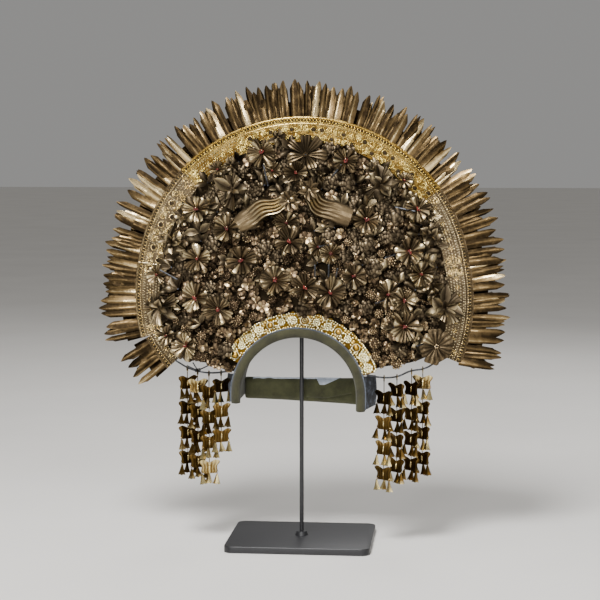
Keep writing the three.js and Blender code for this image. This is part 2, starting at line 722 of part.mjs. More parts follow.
function pendant({ side, across, tiers, lower, turn }) {
  const { hold, run } = wirePoint(side, across);
  const ring = new THREE.TorusGeometry(RING_RADIUS, RING_WIRE_RADIUS, RING_WIRE_SIDES, RING_SIDES);
  const ringUp = WIRE_RADIUS + RING_WIRE_RADIUS + RING_PLAY - RING_RADIUS;
  ring.rotateY(Math.PI / 2).rotateZ(Math.atan2(run.y, run.x)).translate(0, 0, ringUp);
  const parts = [];
  const top = ringUp - RING_RADIUS;
  const foot = top - lower - (tiers - 1) * TIER_PITCH - BELL_DROP;
  parts.push(new THREE.BoxGeometry(LINK_WIDTH, LINK_WIDTH, top - foot).translate(0, 0, (top + foot) / 2));
  for (let i = 0; i < tiers; i++) {
    const start = top - lower - i * TIER_PITCH;
    parts.push(butterfly(start - BUTTERFLY_DROP));
    const bell = new THREE.CylinderGeometry(
      BELL_TOP_RADIUS,
      BELL_MOUTH_RADIUS,
      BELL_HEIGHT,
      BELL_SIDES,
    );
    const bellUp = start - BELL_DROP + BELL_LAP - BELL_HEIGHT / 2;
    parts.push(bell.rotateX(Math.PI / 2).translate(0, 0, bellUp));
  }
  const string = joined(parts).rotateZ(rad(turn));
  return joined([ring, string]).translate(hold.x, hold.y, hold.z);
}
for (const row of PENDANTS) addPiece(row.node, pendant(row), ORANGE_GILT);

export default crown;
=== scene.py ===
# A bridal crown of gilt sheet-metal flowers on a slim display stand.
# The frame is in metres, +Z up, front towards -Y. Sizes below are millimetres, laid into metres.
import math
import random

import bmesh
import bpy
import numpy as np
from mathutils import Matrix, Vector, noise


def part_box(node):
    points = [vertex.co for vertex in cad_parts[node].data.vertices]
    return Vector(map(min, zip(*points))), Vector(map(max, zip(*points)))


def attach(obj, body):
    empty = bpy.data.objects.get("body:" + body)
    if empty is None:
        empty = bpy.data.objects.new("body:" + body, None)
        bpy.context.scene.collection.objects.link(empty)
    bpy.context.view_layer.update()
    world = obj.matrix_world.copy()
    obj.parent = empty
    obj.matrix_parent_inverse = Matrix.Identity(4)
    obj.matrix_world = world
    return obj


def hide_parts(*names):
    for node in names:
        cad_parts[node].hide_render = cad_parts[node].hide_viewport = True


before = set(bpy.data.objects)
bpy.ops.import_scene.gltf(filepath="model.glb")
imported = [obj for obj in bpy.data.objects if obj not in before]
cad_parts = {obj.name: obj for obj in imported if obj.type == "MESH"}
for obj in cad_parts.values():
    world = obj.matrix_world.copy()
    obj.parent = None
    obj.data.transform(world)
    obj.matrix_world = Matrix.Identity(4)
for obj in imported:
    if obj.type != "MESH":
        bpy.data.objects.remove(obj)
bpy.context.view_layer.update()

MM = 0.001
NEAR = 1e-3  # how close a point is to count as in place
AWAY = 1000  # out of reach of everything else
SHEET_THICK = 0.4
chance = random.Random(11)  # one seed, so that every run lays out the same crown

# The arch, the fan plate and the halo, as the CAD has them
ARCH_UP = 182
BAND_RADIUS = 72
BAND_FRONT, BAND_BACK = -40, 26
FAN_INNER, FAN_OUTER = 73.6, 180
FAN_START_INNER, FAN_START_OUTER, FAN_START_DIP = 18, -25, 9
FAN_FRONT_INNER, FAN_FRONT_OUTER, FAN_BULGE = -37, 12, 5
FAN_RIM = 0.78
FAN_THICK = 1.6
FAN_MIDDLE_UP = 240
HALO_UP = 306
STEM_FOOT_LIMIT = 163
LEAN = 0.22


# Materials


def linear(code):
    """An sRGB hex colour as linear red, green, blue and alpha."""
    parts = [int(code[i : i + 2], 16) / 255 for i in (1, 3, 5)]
    return [p / 12.92 if p <= 0.04045 else ((p + 0.055) / 1.055) ** 2.4 for p in parts] + [1.0]


def add(tree, kind, settings=None, links=None):
    """Add a node to a material, with its settings and the sockets that feed it."""
    made = tree.nodes.new("ShaderNode" + kind)
    for key, value in (settings or {}).items():
        if key == "stops":
            ends = made.color_ramp.elements
            ends[0].position, ends[0].color = value[0][0], linear(value[0][1])
            ends[1].position, ends[1].color = value[-1][0], linear(value[-1][1])
            for spot, code in value[1:-1]:
                ends.new(spot).color = linear(code)
        elif isinstance(key, int) or key in made.inputs:
            made.inputs[key].default_value = value
        else:
            setattr(made, key, value)
    for key, source in (links or {}).items():
        tree.links.new(source, made.inputs[key])
    return made


def blank(name, **constants):
    """A new material: its tree, its shader and its Object coordinates."""
    material = bpy.data.materials.new(name)
    material.use_nodes = True
    tree = material.node_tree
    shader = tree.nodes["Principled BSDF"]
    for key, value in constants.items():
        shader.inputs[key.replace("_", " ")].default_value = value
    return material, tree, shader, add(tree, "TexCoord").outputs["Object"]


def finished(tree, shader, colour, rough, bump):
    """Feed the shader its colour, roughness and bump."""
    tree.links.new(colour.outputs["Color"], shader.inputs["Base Color"])
    tree.links.new(rough.outputs["Result"], shader.inputs["Roughness"])
    tree.links.new(bump.outputs["Normal"], shader.inputs["Normal"])


def gilt(name, soil, body, crest, glossy, dull, patch_mm=14, grain_mm=1.4, dent=0.25):
    """Gilded sheet brass: gold rubbed bright and painted highlight on the ridges, brown, dull and painted
    shade in the folds.
    """
    material, tree, shader, coords = blank(name, Metallic=1.0)
    tone = add(tree, "Attribute", {"attribute_name": "tone"}).outputs["Fac"]
    patch, grain = (
        add(
            tree,
            "TexNoise",
            {"Scale": 1 / (across_mm * MM), "Detail": detail, "Roughness": 0.6},
            {"Vector": coords},
        ).outputs["Fac"]
        for across_mm, detail in ((patch_mm, 4.0), (grain_mm, 3.0))
    )
    clouded = add(tree, "Math", {"operation": "MULTIPLY_ADD", 1: 0.5}, {0: patch, 2: tone}).outputs[0]
    speckled = add(tree, "Math", {"operation": "MULTIPLY_ADD", 1: 0.3}, {0: grain, 2: clouded}).outputs[0]
    wear_and_sheen_mix = add(tree, "MapRange", {"From Min": 0.3, "From Max": 1.5}, {"Value": speckled}).outputs["Result"]
    ramp = add(tree, "ValToRGB", {"stops": [(0.08, soil), (0.5, body), (0.92, crest)]}, {"Fac": wear_and_sheen_mix})
    rough = add(tree, "MapRange", {"To Min": dull, "To Max": glossy}, {"Value": wear_and_sheen_mix})
    bump = add(tree, "Bump", {"Strength": dent, "Distance": 0.3 * MM}, {"Height": grain})
    finished(tree, shader, ramp, rough, bump)
    return material


# Gilding that is nearly whole: pale lemon gold, glossy, brown only in the deep places. It is on the top
# plates, where part of its brightness is painted highlight.
bright_gilt = gilt("bright_gilding", "#4a3614", "#e0c06e", "#fff0b6", 0.18, 0.38)
# Thin worn gilding on hammered leaf: pale straw gold with grey-brown patches
pale_gilt = gilt("pale_worn_gilding", "#33291b", "#87714d", "#f3e3ba", 0.18, 0.42)
# The same on the blades of the halo: browner, with the gold left on the creases
blade_gilt = gilt("brown_gilding_of_the_blades", "#2a2115", "#6e5a3b", "#dcc594", 0.2, 0.4, 9, 3.2, 0.6)
# Gilding gone brown with age: dull, greyish, gold on the rubbed ridges
aged_gilt = gilt("aged_brown_gilding", "#2b241a", "#6c5c44", "#dcc99c", 0.24, 0.46)
# Grey-brown tarnish, hardly any gold left
tarnish = gilt("grey_brown_tarnish", "#251e16", "#5b4f3d", "#b4a27c", 0.3, 0.52)
# Granules of worn solder and gilding: beige, with glints
granulated = gilt("beige_granulation", "#2a2118", "#6a5843", "#c2aa80", 0.28, 0.5, 20, 2.0)
# Gilding of the diadem's beads: lemon gold, paled nearly to white on the crests as a painted highlight, the
# brightest of all
bead_gilt = gilt("lemon_gilding_of_the_beads", "#7a5612", "#fcd878", "#fff8cc", 0.2, 0.38)
# Amber gilding in the hollows of the diadem
amber_gilt = gilt("amber_gilding_of_the_hollows", "#3a2a08", "#8e6a20", "#eec866", 0.2, 0.4)
# Deep yellow gilding of the drops: saturated, with bright glints
orange_gilt = gilt("deep_yellow_gilding", "#2a1f0d", "#70562a", "#f8e3a4", 0.16, 0.36)
# Dark sheet behind the flowers: tarnished brass, painted brown-black as the shade in the gaps between the
# flowers
dark_brass = gilt("tarnished_brass_painted_dark_as_shade", "#17130d", "#352c1f", "#574a35", 0.45, 0.7, 30, 2.0)


def tinned(name, bare, body, light):
    """Tinned iron: blue-grey, blotched, brown where the tin has gone."""
    material, tree, shader, coords = blank(name, Metallic=1.0)
    cloud = add(
        tree, "TexNoise", {"Scale": 1 / (7 * MM), "Detail": 6.0, "Roughness": 0.7}, {"Vector": coords}
    ).outputs["Fac"]
    colours = [(0.34, bare), (0.52, body), (0.7, light)]
    ramp = add(tree, "ValToRGB", {"stops": colours}, {"Fac": cloud})
    rough = add(tree, "MapRange", {"To Min": 0.3, "To Max": 0.6}, {"Value": cloud})
    bump = add(tree, "Bump", {"Strength": 0.2, "Distance": 0.3 * MM}, {"Height": cloud})
    finished(tree, shader, ramp, rough, bump)
    return material


def lacquered():
    """Satin black paint on steel: near-black, soft gloss, faint orange peel."""
    material, tree, shader, coords = blank("satin_black_paint")
    fine = {"Scale": 1 / (1.6 * MM), "Detail": 2.0}
    peel = add(tree, "TexNoise", fine, {"Vector": coords}).outputs["Fac"]
    ramp = add(tree, "ValToRGB", {"stops": [(0.3, "#141416"), (0.7, "#1f1f22")]}, {"Fac": peel})
    rough = add(tree, "MapRange", {"To Min": 0.34, "To Max": 0.48}, {"Value": peel})
    bump = add(tree, "Bump", {"Strength": 0.06, "Distance": 0.2 * MM}, {"Height": peel})
    finished(tree, shader, ramp, rough, bump)
    return material


def woven(name, dark, body, light, thread_mm):
    """Plain-woven cotton: matt, a fine grid of threads, faded and soiled in clouds."""
    matt = {"Sheen_Weight": 0.15, "Sheen_Roughness": 0.6, "Specular_IOR_Level": 0.2}
    material, tree, shader, coords = blank(name, **matt)
    cloud = add(
        tree, "TexNoise", {"Scale": 1 / (18 * MM), "Detail": 5.0, "Roughness": 0.65}, {"Vector": coords}
    ).outputs["Fac"]
    # Threads are about 0.4 mm apart; they are drawn coarser, so that they show in the picture
    threads = [
        add(
            tree,
            "TexWave",
            {"bands_direction": axis, "Scale": 0.314 / (thread_mm * MM), "Distortion": 1.2, "Detail": 1.0},
            {"Vector": coords},
        ).outputs["Fac"]
        for axis in "XZ"
    ]
    weave = add(tree, "Math", {"operation": "MAXIMUM"}, {0: threads[0], 1: threads[1]}).outputs[0]
    mixed = add(tree, "Math", {"operation": "MULTIPLY_ADD", 1: 0.18}, {0: weave, 2: cloud}).outputs[0]
    ramp = add(tree, "ValToRGB", {"stops": [(0.4, dark), (0.62, body), (0.86, light)]}, {"Fac": mixed})
    rough = add(tree, "MapRange", {"To Min": 0.82, "To Max": 0.97}, {"Value": cloud})
    bump = add(tree, "Bump", {"Strength": 0.35, "Distance": 0.25 * MM}, {"Height": weave})
    finished(tree, shader, ramp, rough, bump)
    return material


# Dull sheet of the head band and wire of the stems: blue-grey, nearly black where it is bare
tin = tinned("dull_tinned_sheet", "#191716", "#363a42", "#7d8596")
# Bare wire at the sides and between the flowers: plain grey
tin_wire = tinned("tinned_wire", "#343232", "#5a5c60", "#888b91")
black_paint = lacquered()
# Olive cotton of the bar, and a darker copy of the same cloth on the roll and the lining: painted shade,
# since the roll at the front takes more light than the bar
olive_cotton = woven("olive_woven_cotton", "#2a2b1c", "#3f4029", "#4d4e35", 1.1)
shaded_olive_cotton = woven("olive_cotton_painted_darker", "#201f14", "#31301e", "#3d3c26", 1.1)
# Lining and hem of the bar: grey-white, matt
white_cotton = woven("grey_white_lining_cotton", "#858c96", "#aab2be", "#c8d0da", 0.9)
# Grey cotton of the piping along the roll
grey_cotton = woven("grey_piping_cotton", "#30343b", "#4c525c", "#6d7480", 0.9)
# Tufts in the hearts of the flowers: dull red, with a soft sheen
red_thread = woven("red_silk_thread", "#340a08", "#661a14", "#8e3c2e", 0.8)


# Patterns


def pick(test, kind="VERT"):
    """In edit mode, select the points or the faces that pass the test and nothing else."""
    bpy.ops.mesh.select_mode(type=kind)
    bpy.ops.mesh.select_all(action="DESELECT")
    form = bmesh.from_edit_mesh(bpy.context.edit_object.data)
    for part in form.verts if kind == "VERT" else form.faces:
        part.select = bool(test(part.co if kind == "VERT" else part))
    form.select_flush(True)
    bmesh.update_edit_mesh(bpy.context.edit_object.data)


def thickened(thick):
    """Give the active sheet its thickness."""
    bpy.ops.object.modifier_add(type="SOLIDIFY")
    wall = bpy.context.object.modifiers[-1]
    wall.thickness = thick
    wall.offset = 0
    bpy.ops.object.modifier_apply(modifier=wall.name)


def pattern(wear_and_sheen=lambda p: 0.5):
    """The active object as points, faces and how far each point is rubbed, painted highlight and shade
    included; the object itself goes.
    """
    made = bpy.context.object
    mesh = made.data
    points = np.array([(made.matrix_world @ v.co)[:] for v in mesh.vertices])
    faces = [tuple(face.vertices) for face in mesh.polygons]
    rubbed = np.array([wear_and_sheen(p) for p in points])
    bpy.data.objects.remove(made)
    bpy.data.meshes.remove(mesh)
    return points, faces, rubbed


def sheet_leaf(rows, profile, thick=SHEET_THICK, cuts=(), sway=0.0, curl=0.0, twist=0.0, tip_wear_foot_glint=0.35):
    """A leaf of sheet metal along +Y with its face to +Z.

    Each row gives along, half width, height of the ridges and lift. The profile gives the ridges
    across, and a cut draws a column of the tip back. Sway bends the leaf sideways, curl bends it
    forwards, and twist turns its tip. It is rubbed bright on the ridges and at the tip, and its bright
    ridges and dark folds are also painted highlight and shade. Where tip_wear_foot_glint is below zero
    the foot is brighter instead, as a painted highlight."""
    columns, steps, length = len(profile) - 1, len(rows) - 1, rows[-1][0]
    bpy.ops.object.select_all(action="DESELECT")
    bpy.ops.mesh.primitive_grid_add(x_subdivisions=columns, y_subdivisions=steps, size=2)
    bpy.ops.object.mode_set(mode="EDIT")
    for k, height in enumerate(profile):
        side = 2 * k / columns - 1
        pick(lambda p: abs(p.x - side) < NEAR)
        bpy.ops.transform.translate(value=(0, 0, height))
    for k, (along, half, ridge, lift) in enumerate(rows):
        level = 2 * k / steps - 1
        share = max(along / length, 0)
        bend = share**2
        pick(lambda p: abs(p.y - level) < NEAR)
        bpy.ops.transform.resize(value=(half, 1, ridge), center_override=(0, level, 0))
        if k == steps:
            for column, drop in cuts:
                side = half * (2 * column / columns - 1)
                pick(lambda p: abs(p.y - level) < NEAR and abs(p.x - side) < NEAR)
                bpy.ops.transform.translate(value=(0, AWAY * 2 - drop, 0))
            pick(lambda p: abs(p.y - level) < NEAR)
            bpy.ops.transform.translate(value=(0, AWAY * 2, 0))
            pick(lambda p: p.y > AWAY * 1.5)
            bpy.ops.transform.translate(value=(0, -AWAY, 0))
        else:
            bpy.ops.transform.translate(value=(0, AWAY, 0))
        twisted = math.radians(twist) * share
        bpy.ops.transform.rotate(value=twisted, orient_axis="Y", center_override=(0, 0, 0))
        bpy.ops.transform.translate(value=(sway * bend, along - level, lift + curl * bend))
    bpy.ops.mesh.select_all(action="SELECT")
    bpy.ops.transform.translate(value=(0, -AWAY, 0))
    bpy.ops.object.mode_set(mode="OBJECT")
    thickened(thick)
    table = np.array(rows)
    crest = max(profile)

    def wear_and_sheen(p):
        """How far a point is rubbed bright, with the painted highlight on the ridges and at a glinting foot.
        """
        share = min(max(p[1] / length, 0), 1)
        half = np.interp(p[1], table[:, 0], table[:, 1])
        spot = (p[0] - sway * share**2) / half if half else 0
        ridge = np.interp((spot + 1) / 2 * columns, range(columns + 1), profile) / crest
        return tip_wear_foot_glint * share + 0.65 * ridge + max(-tip_wear_foot_glint, 0)

    return pattern(wear_and_sheen)


def mapped_sheet(columns, rows, where, thick, wear_and_sheen=lambda u, v: 0.5):
    """A sheet whose points go where a function of two shares puts them."""
    bpy.ops.object.select_all(action="DESELECT")
    bpy.ops.mesh.primitive_grid_add(x_subdivisions=columns, y_subdivisions=rows, size=2)
    grid = bpy.context.object.data.vertices
    shares = [((p.co.x + 1) / 2, (p.co.y + 1) / 2) for p in grid]
    for point, (u, v) in zip(grid, shares):
        point.co = where(u, v)
    thickened(thick)
    points, faces, _ = pattern()
    return points, faces, np.tile([wear_and_sheen(u, v) for u, v in shares], 2)


def ball(levels):
    """A granule, rubbed on its front."""
    bpy.ops.object.select_all(action="DESELECT")
    bpy.ops.mesh.primitive_ico_sphere_add(subdivisions=levels, radius=1)
    return pattern(lambda p: 0.5 + 0.5 * p[2])


def rod(sides, tip):
    """A bar of wire one long from the origin up, with a radius of one at its foot."""
    bpy.ops.object.select_all(action="DESELECT")
    bpy.ops.mesh.primitive_cone_add(vertices=sides, radius1=1, radius2=tip, depth=1, location=(0, 0, 0.5))
    bpy.context.view_layer.update()
    return pattern()


def link(radius, wire, segments, sides):
    """A ring of wire that lies flat."""
    bpy.ops.object.select_all(action="DESELECT")
    bpy.ops.mesh.primitive_torus_add(
        major_radius=radius, minor_radius=wire, major_segments=segments, minor_segments=sides
    )
    return pattern(lambda p: 0.5 + 0.5 * p[2] / wire)


# A bell's neck and waist as shares of its mouth, then its waist and its hollow as shares of its height
BELL_NECK, BELL_WAIST, WAIST_DOWN, HOLLOW_UP = 0.24, 0.9, 0.55, 0.6


def little_bell(flutes, height, mouth):
    """A fluted, flared bell that hangs from the origin, hollow from below."""
    bpy.ops.object.select_all(action="DESELECT")
    bpy.ops.mesh.primitive_cylinder_add(
        vertices=2 * flutes, radius=mouth, depth=height, location=(0, 0, -height / 2)
    )
    bpy.ops.object.transform_apply(location=True)
    bpy.ops.object.mode_set(mode="EDIT")
    pick(lambda p: p.z > -NEAR)
    bpy.ops.transform.resize(value=(BELL_NECK, BELL_NECK, 1), center_override=(0, 0, 0))
    waist = -WAIST_DOWN * height
    bpy.ops.mesh.select_all(action="SELECT")
    bpy.ops.mesh.bisect(plane_co=(0, 0, waist), plane_no=(0, 0, 1))
    pick(lambda p: abs(p.z - waist) < NEAR)
    bpy.ops.transform.resize(value=(BELL_WAIST, BELL_WAIST, 1), center_override=(0, 0, 0))
    flute = 180 / flutes
    pick(lambda p: p.z < -NEAR and round(math.degrees(math.atan2(p.y, p.x)) / flute) % 2)
    bpy.ops.transform.resize(value=(0.8, 0.8, 0.95), center_override=(0, 0, 0))
    pick(lambda f: f.normal.z < -0.8, "FACE")
    bpy.ops.mesh.inset(thickness=0.1 * mouth)
    bpy.ops.mesh.extrude_region_move(TRANSFORM_OT_translate={"value": (0, 0, HOLLOW_UP * height)})
    bpy.ops.transform.resize(value=(0.4, 0.4, 1))
    bpy.ops.object.mode_set(mode="OBJECT")
    return pattern(lambda p: 0.95 if p[2] < -0.9 * height else 0.4)


def scroll(turns, radius, wire):
    """A flat spiral of wire with its eye at the origin."""
    bpy.ops.object.select_all(action="DESELECT")
    bpy.ops.curve.primitive_nurbs_path_add()
    made = bpy.context.object
    made.data.splines.clear()
    steps = int(turns * 12)
    spline = made.data.splines.new("POLY")
    spline.points.add(steps)
    for k, point in enumerate(spline.points):
        angle = 2 * math.pi * turns * k / steps
        reach = radius * (0.25 + 0.75 * k / steps)
        point.co = (reach * math.cos(angle), reach * math.sin(angle), 0, 1)
    made.data.bevel_depth = wire
    made.data.bevel_resolution = 0
    made.data.use_fill_caps = True
    bpy.ops.object.convert(target="MESH")
    return pattern(lambda p: 0.5 + 0.5 * p[2] / wire)


# Bends that leaves of one kind have: sway, curl and twist
BENDS = ((0, 0, 0), (2.0, 1.6, 16), (-2.0, -1.2, -16), (0.8, 2.6, -26))

# Rows of a leaf: along, half width, height of the ridges, lift
DAISY_ROWS = [
    (1, 0.6, 0.1, 0),
    (5, 1.2, 0.5, 0.6),
    (9.5, 2.0, 1.0, 1.3),
    (13.5, 2.8, 1.4, 1.5),
    (16.8, 3.2, 1.4, 1.0),
    (18.4, 3.0, 0.8, 0.2),
]
LEAF_ROWS = [
    (1, 1.3, 0.5, 0),
    (5, 3.6, 1.6, 0.8),
    (10, 5.9, 2.8, 1.9),
    (15, 6.5, 3.0, 2.7),
    (20, 4.8, 2.0, 2.8),
    (25.5, 0.25, 0.05, 1.6),
]
WEDGE_ROWS = [
    (1, 0.9, 0.3, 0),
    (6, 2.3, 1.1, 0.8),
    (11.5, 4.1, 1.9, 1.7),
    (17, 5.9, 2.3, 2.2),
    (25, 7.6, 2.2, 1.6),
]
WEDGE_SLANT = [(column, 0.75 * column) for column in range(1, 9)]
WEDGE_FOLDS = (
    [1, 0.4, 0.9, 0.3, 0.6, 0, 0.6, 0.3, 0.9],
    [0.1, 0.6, 0.3, 0.9, 0.6, 1, 0.5, 0.8, 0.2],
)
SHELL_ROWS = [
    (1, 1.0, 0.1, 0),
    (6, 4.0, 0.8, 0.9),
    (12, 7.4, 1.3, 1.6),
    (17, 9.6, 1.5, 1.8),
    (21, 10.2, 1.3, 1.2),
    (23.4, 8.4, 0.8, 0.3),
]
BLADE_ROWS = [
    (-4, 4.4, 0.3, 0),
    (7, 4.6, 0.8, 1.3),
    (19, 4.8, 1.0, 0.4),
    (33, 4.7, 0.9, 1.4),
    (45, 4.0, 0.4, 0.3),
]
BLADE_CREASES = (
    [0, 0.5, 1, 0.5, 0.3, 0.15, 0],
    [0, 0.2, 0.5, 1, 0.4, 0.2, 0],
    [0, 0.9, 0.5, 0, 0.4, 0.8, 0.1],
    [0, 0.1, 0.3, 0.5, 1, 0.4, 0],
)
BLADE_TIPS = {  # how far each column of the tip is cut back
    "pointed": (10, 5.5, 2, 0, 2.2, 6, 10.5),
    "leaning": (6, 2, 0, 2, 4.5, 7, 10),
    "slanted": (10.5, 7, 4, 1.5, 0, 2, 8),
    "twin": (6, 0.5, 2, 6, 2, 0, 5.5),
    "ragged": (5, 1, 2, 0, 1.6, 1, 5),
}
BLADE_SHARES = (0.3, 0.24, 0.22, 0.13, 0.11)  # of all blades, for each tip
# For each crease: brighter at the foot below zero, a painted highlight for the glints near the feet; rubbed
# at the tip above it
BLADE_TIP_WEAR_FOOT_GLINT = (-0.35, 0.45, 0.45, -0.35)
BUTTERFLY_ROWS = [
    (-8.6, 7.6, 0.3, 0.6),
    (-6, 10.2, 0.5, 0.3),
    (-2.4, 9.2, 0.8, 0),
    (0.6, 9.4, 0.9, 0),
    (4, 12.2, 0.8, 0.4),
    (8.0, 12.6, 0.5, 1.0),
]
DOME_SCALE_ROWS = [(0, 1.6, 0.2, 0), (2.2, 2.7, 0.6, 0.7), (4.2, 2.4, 0.5, 0.9), (5.4, 1.1, 0.2, 0.4)]
DAISY_LONG, LEAF_LONG, SHELL_LONG = (rows[-1][0] for rows in (DAISY_ROWS, LEAF_ROWS, SHELL_ROWS))

DAISY_PETALS = [
    sheet_leaf(DAISY_ROWS, ridges, SHEET_THICK, [(0, 1.5), (2, dent), (4, 1.5)], *bend)
    for ridges, dent in (([0, 1, 0.2, 1, 0], 1.8), ([0, 0.6, 1, 0.6, 0], 0))
    for bend in BENDS
]
LEAF_PETALS = [
    sheet_leaf(LEAF_ROWS, fold, SHEET_THICK, (), 2 * sway, 2.4 * curl, twist)
    for fold in ([1, 0.5, 0, 0.5, 1], [0, 0.5, 1, 0.5, 0])
    for sway, curl, twist in BENDS
]
WEDGE_PETALS = [
    sheet_leaf(WEDGE_ROWS, fold, SHEET_THICK, WEDGE_SLANT, sway, 1.5 * curl, twist)
    for fold in WEDGE_FOLDS
    for sway, curl, twist in BENDS
]
SHELL_PETAL = sheet_leaf(SHELL_ROWS, [0.2, 0.8, 0.2, 1, 0.2, 0.8, 0.2])
BLADES = [
    [
        sheet_leaf(BLADE_ROWS, crease, SHEET_THICK, list(enumerate(tip)), *bend, rubbed)
        for crease, bend, rubbed in zip(BLADE_CREASES, BENDS, BLADE_TIP_WEAR_FOOT_GLINT)
    ]
    for tip in BLADE_TIPS.values()
]
BUTTERFLY = sheet_leaf(
    BUTTERFLY_ROWS,
    [0, 0.9, 0.3, 0.8, 0.2, 1.3, 0.2, 0.8, 0.3, 0.9, 0],
    0.45,
    [(0, 2.0), (1, 0.3), (3, 0.8), (4, 2.2), (5, 3.0), (6, 2.2), (7, 0.8), (9, 0.3), (10, 2.0)],
)
SCALE = sheet_leaf([(0, 1.0, 0.2, 0), (1.8, 1.8, 0.5, 0.6), (3.2, 1.1, 0.2, 0.3)], [0, 1, 0], 0.3)
DOME_SCALE = sheet_leaf(DOME_SCALE_ROWS, [0, 0.8, 1, 0.8, 0], 0.35)
GRANULE = ball(1)
BEAD = ball(2)
WIRE = rod(6, 1)
POST = rod(32, 1)
COLLAR = rod(32, 0.75)
SPIKE = rod(6, 0.15)
RING = link(1.5, 0.36, 10, 4)
BOSS_RING = link(4.4, 0.55, 16, 5)
EYE_RING = link(3.3, 0.6, 12, 4)
BELL = little_bell(6, 11.5, 4.9)
SCROLL = scroll(1.5, 4.4, 0.8)


# Laying out


def turn(axis, degrees):
    """A turn about an axis."""
    return Matrix.Rotation(math.radians(degrees), 4, axis)


def shift(x, y, z):
    """A move by so many millimetres."""
    return Matrix.Translation((x, y, z))


def sized(x, y, z):
    """A change of size along each axis."""
    return Matrix.Diagonal((x, y, z, 1))


def evenly(size):
    """The same change of size all ways."""
    return sized(size, size, size)


def blend(a, b, share):
    """The value at a share of the way from one to another."""
    return a + (b - a) * share


def between(start, end, radius):
    """Where a bar of wire lies from one point to another."""
    along = end - start
    lay = Vector((0, 0, 1)).rotation_difference(along).to_matrix().to_4x4()
    return Matrix.Translation(start) @ lay @ sized(radius, radius, along.length)


def round_place(radius, degrees, front, up, across=0):
    """A place on a circle seen from the front: +Y outwards, +Z to the viewer."""
    angle = math.radians(degrees)
    out = Vector((math.cos(angle), 0, math.sin(angle)))
    ahead = Vector((0, -1, 0))
    turned = Matrix((out.cross(ahead), out, ahead)).transposed().to_4x4()
    return Matrix.Translation(out * radius + Vector((across, front, up))) @ turned


class Tray:
    """Copies of patterns in millimetres, joined into one piece."""

    def __init__(self):
        self.points, self.faces, self.slots, self.tones = [], [], [], []
        self.count = 0

    def lay(self, shape, place=Matrix.Identity(4), tone=0.5, slot=0, contrast=0.6):
        """Lay a copy of a pattern: slot picks its finish, contrast says how far the rubbing, with its
        painted highlight and shade, shows.
        """
        points, faces, rubbed = shape
        spot = np.array(place)
        self.points.append(points @ spot[:3, :3].T + spot[:3, 3])
        self.faces.extend([tuple(i + self.count for i in face) for face in faces])
        self.slots.extend([slot] * len(faces))
        self.tones.append(np.clip(tone + contrast * (rubbed - 0.5), 0, 1))
        self.count += len(points)

    def piece(self, name, finishes, crease=40):
        """Join the copies into one object, in metres."""
        mesh = bpy.data.meshes.new(name)
        mesh.from_pydata((np.concatenate(self.points) * MM).tolist(), [], self.faces)
        made = bpy.data.objects.new(name, mesh)
        bpy.context.collection.objects.link(made)
        for finish in finishes:
            mesh.materials.append(finish)
        mesh.polygons.foreach_set("material_index", self.slots)
        tone = mesh.attributes.new("tone", "FLOAT", "POINT")
        tone.data.foreach_set("value", np.concatenate(self.tones))
        creased(made, crease)
        return made


def chosen(made):
    """Select one object and make it the active one."""
    bpy.ops.object.select_all(action="DESELECT")
    made.select_set(True)
    bpy.context.view_layer.objects.active = made


def creased(made, degrees):
    """Shade a piece smooth up to its creases."""
    chosen(made)
    bpy.ops.object.shade_smooth_by_angle(angle=math.radians(degrees))


def seat(made, slot, *nodes):
    """A piece rides on the crown and stands for its nodes. The slot is not used."""
    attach(made, "root")
    if nodes:
        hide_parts(*nodes)
    return made


def corners(node):
    """Lowest and highest corner of a node's box, in millimetres."""
    lo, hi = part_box(node)
    return Vector(lo) / MM, Vector(hi) / MM


def fan_start(share):
    """Angle at which a row of the fan plate starts."""
    return blend(FAN_START_INNER, FAN_START_OUTER, share) - FAN_START_DIP * math.sin(math.pi * share)


def fan_point(share, around):
    """A point on the front of the fan plate: share runs outwards, around runs from right to left."""
    angle = math.radians(blend(fan_start(share), 180 - fan_start(share), around))
    radius = blend(FAN_INNER, FAN_OUTER, share)
    rise = min(share / FAN_RIM, 1)
    front = blend(FAN_FRONT_INNER, FAN_FRONT_OUTER, rise) - FAN_BULGE * math.sin(math.pi * rise)
    up = blend(ARCH_UP, HALO_UP, share) + radius * math.sin(angle)
    return Vector((radius * math.cos(angle), front, up))


def fan_place(across, up):
    """Share and around of the fan plate behind a point that is seen from the front."""
    low, high = 0.0, 1.0
    for _ in range(20):
        share = (low + high) / 2
        if math.hypot(across, up - blend(ARCH_UP, HALO_UP, share)) > blend(FAN_INNER, FAN_OUTER, share):
            low = share
        else:
            high = share
    angle = math.degrees(math.atan2(up - blend(ARCH_UP, HALO_UP, share), across))
    if angle < -90:
        angle += 360
    start = fan_start(share)
    return share, (angle - start) / (180 - 2 * start)


def fan_foot(across, up):
    """Foot of a stem on the fan plate, drawn in from the rim where the head hangs over it."""
    out = Vector((across, up - HALO_UP))
    if out.length > STEM_FOOT_LIMIT:
        out *= STEM_FOOT_LIMIT / out.length
    share, around = fan_place(out.x, HALO_UP + out.y)
    return fan_point(share, min(max(around, 0.01), 0.99))


def facing(across, up):
    """Turn of a flower head that looks out of the fan."""
    out = Vector((across, up - FAN_MIDDLE_UP)).normalized() * LEAN
    return Vector((0, 0, 1)).rotation_difference(Vector((out.x, -1, out.y))).to_matrix().to_4x4()


# Flowers

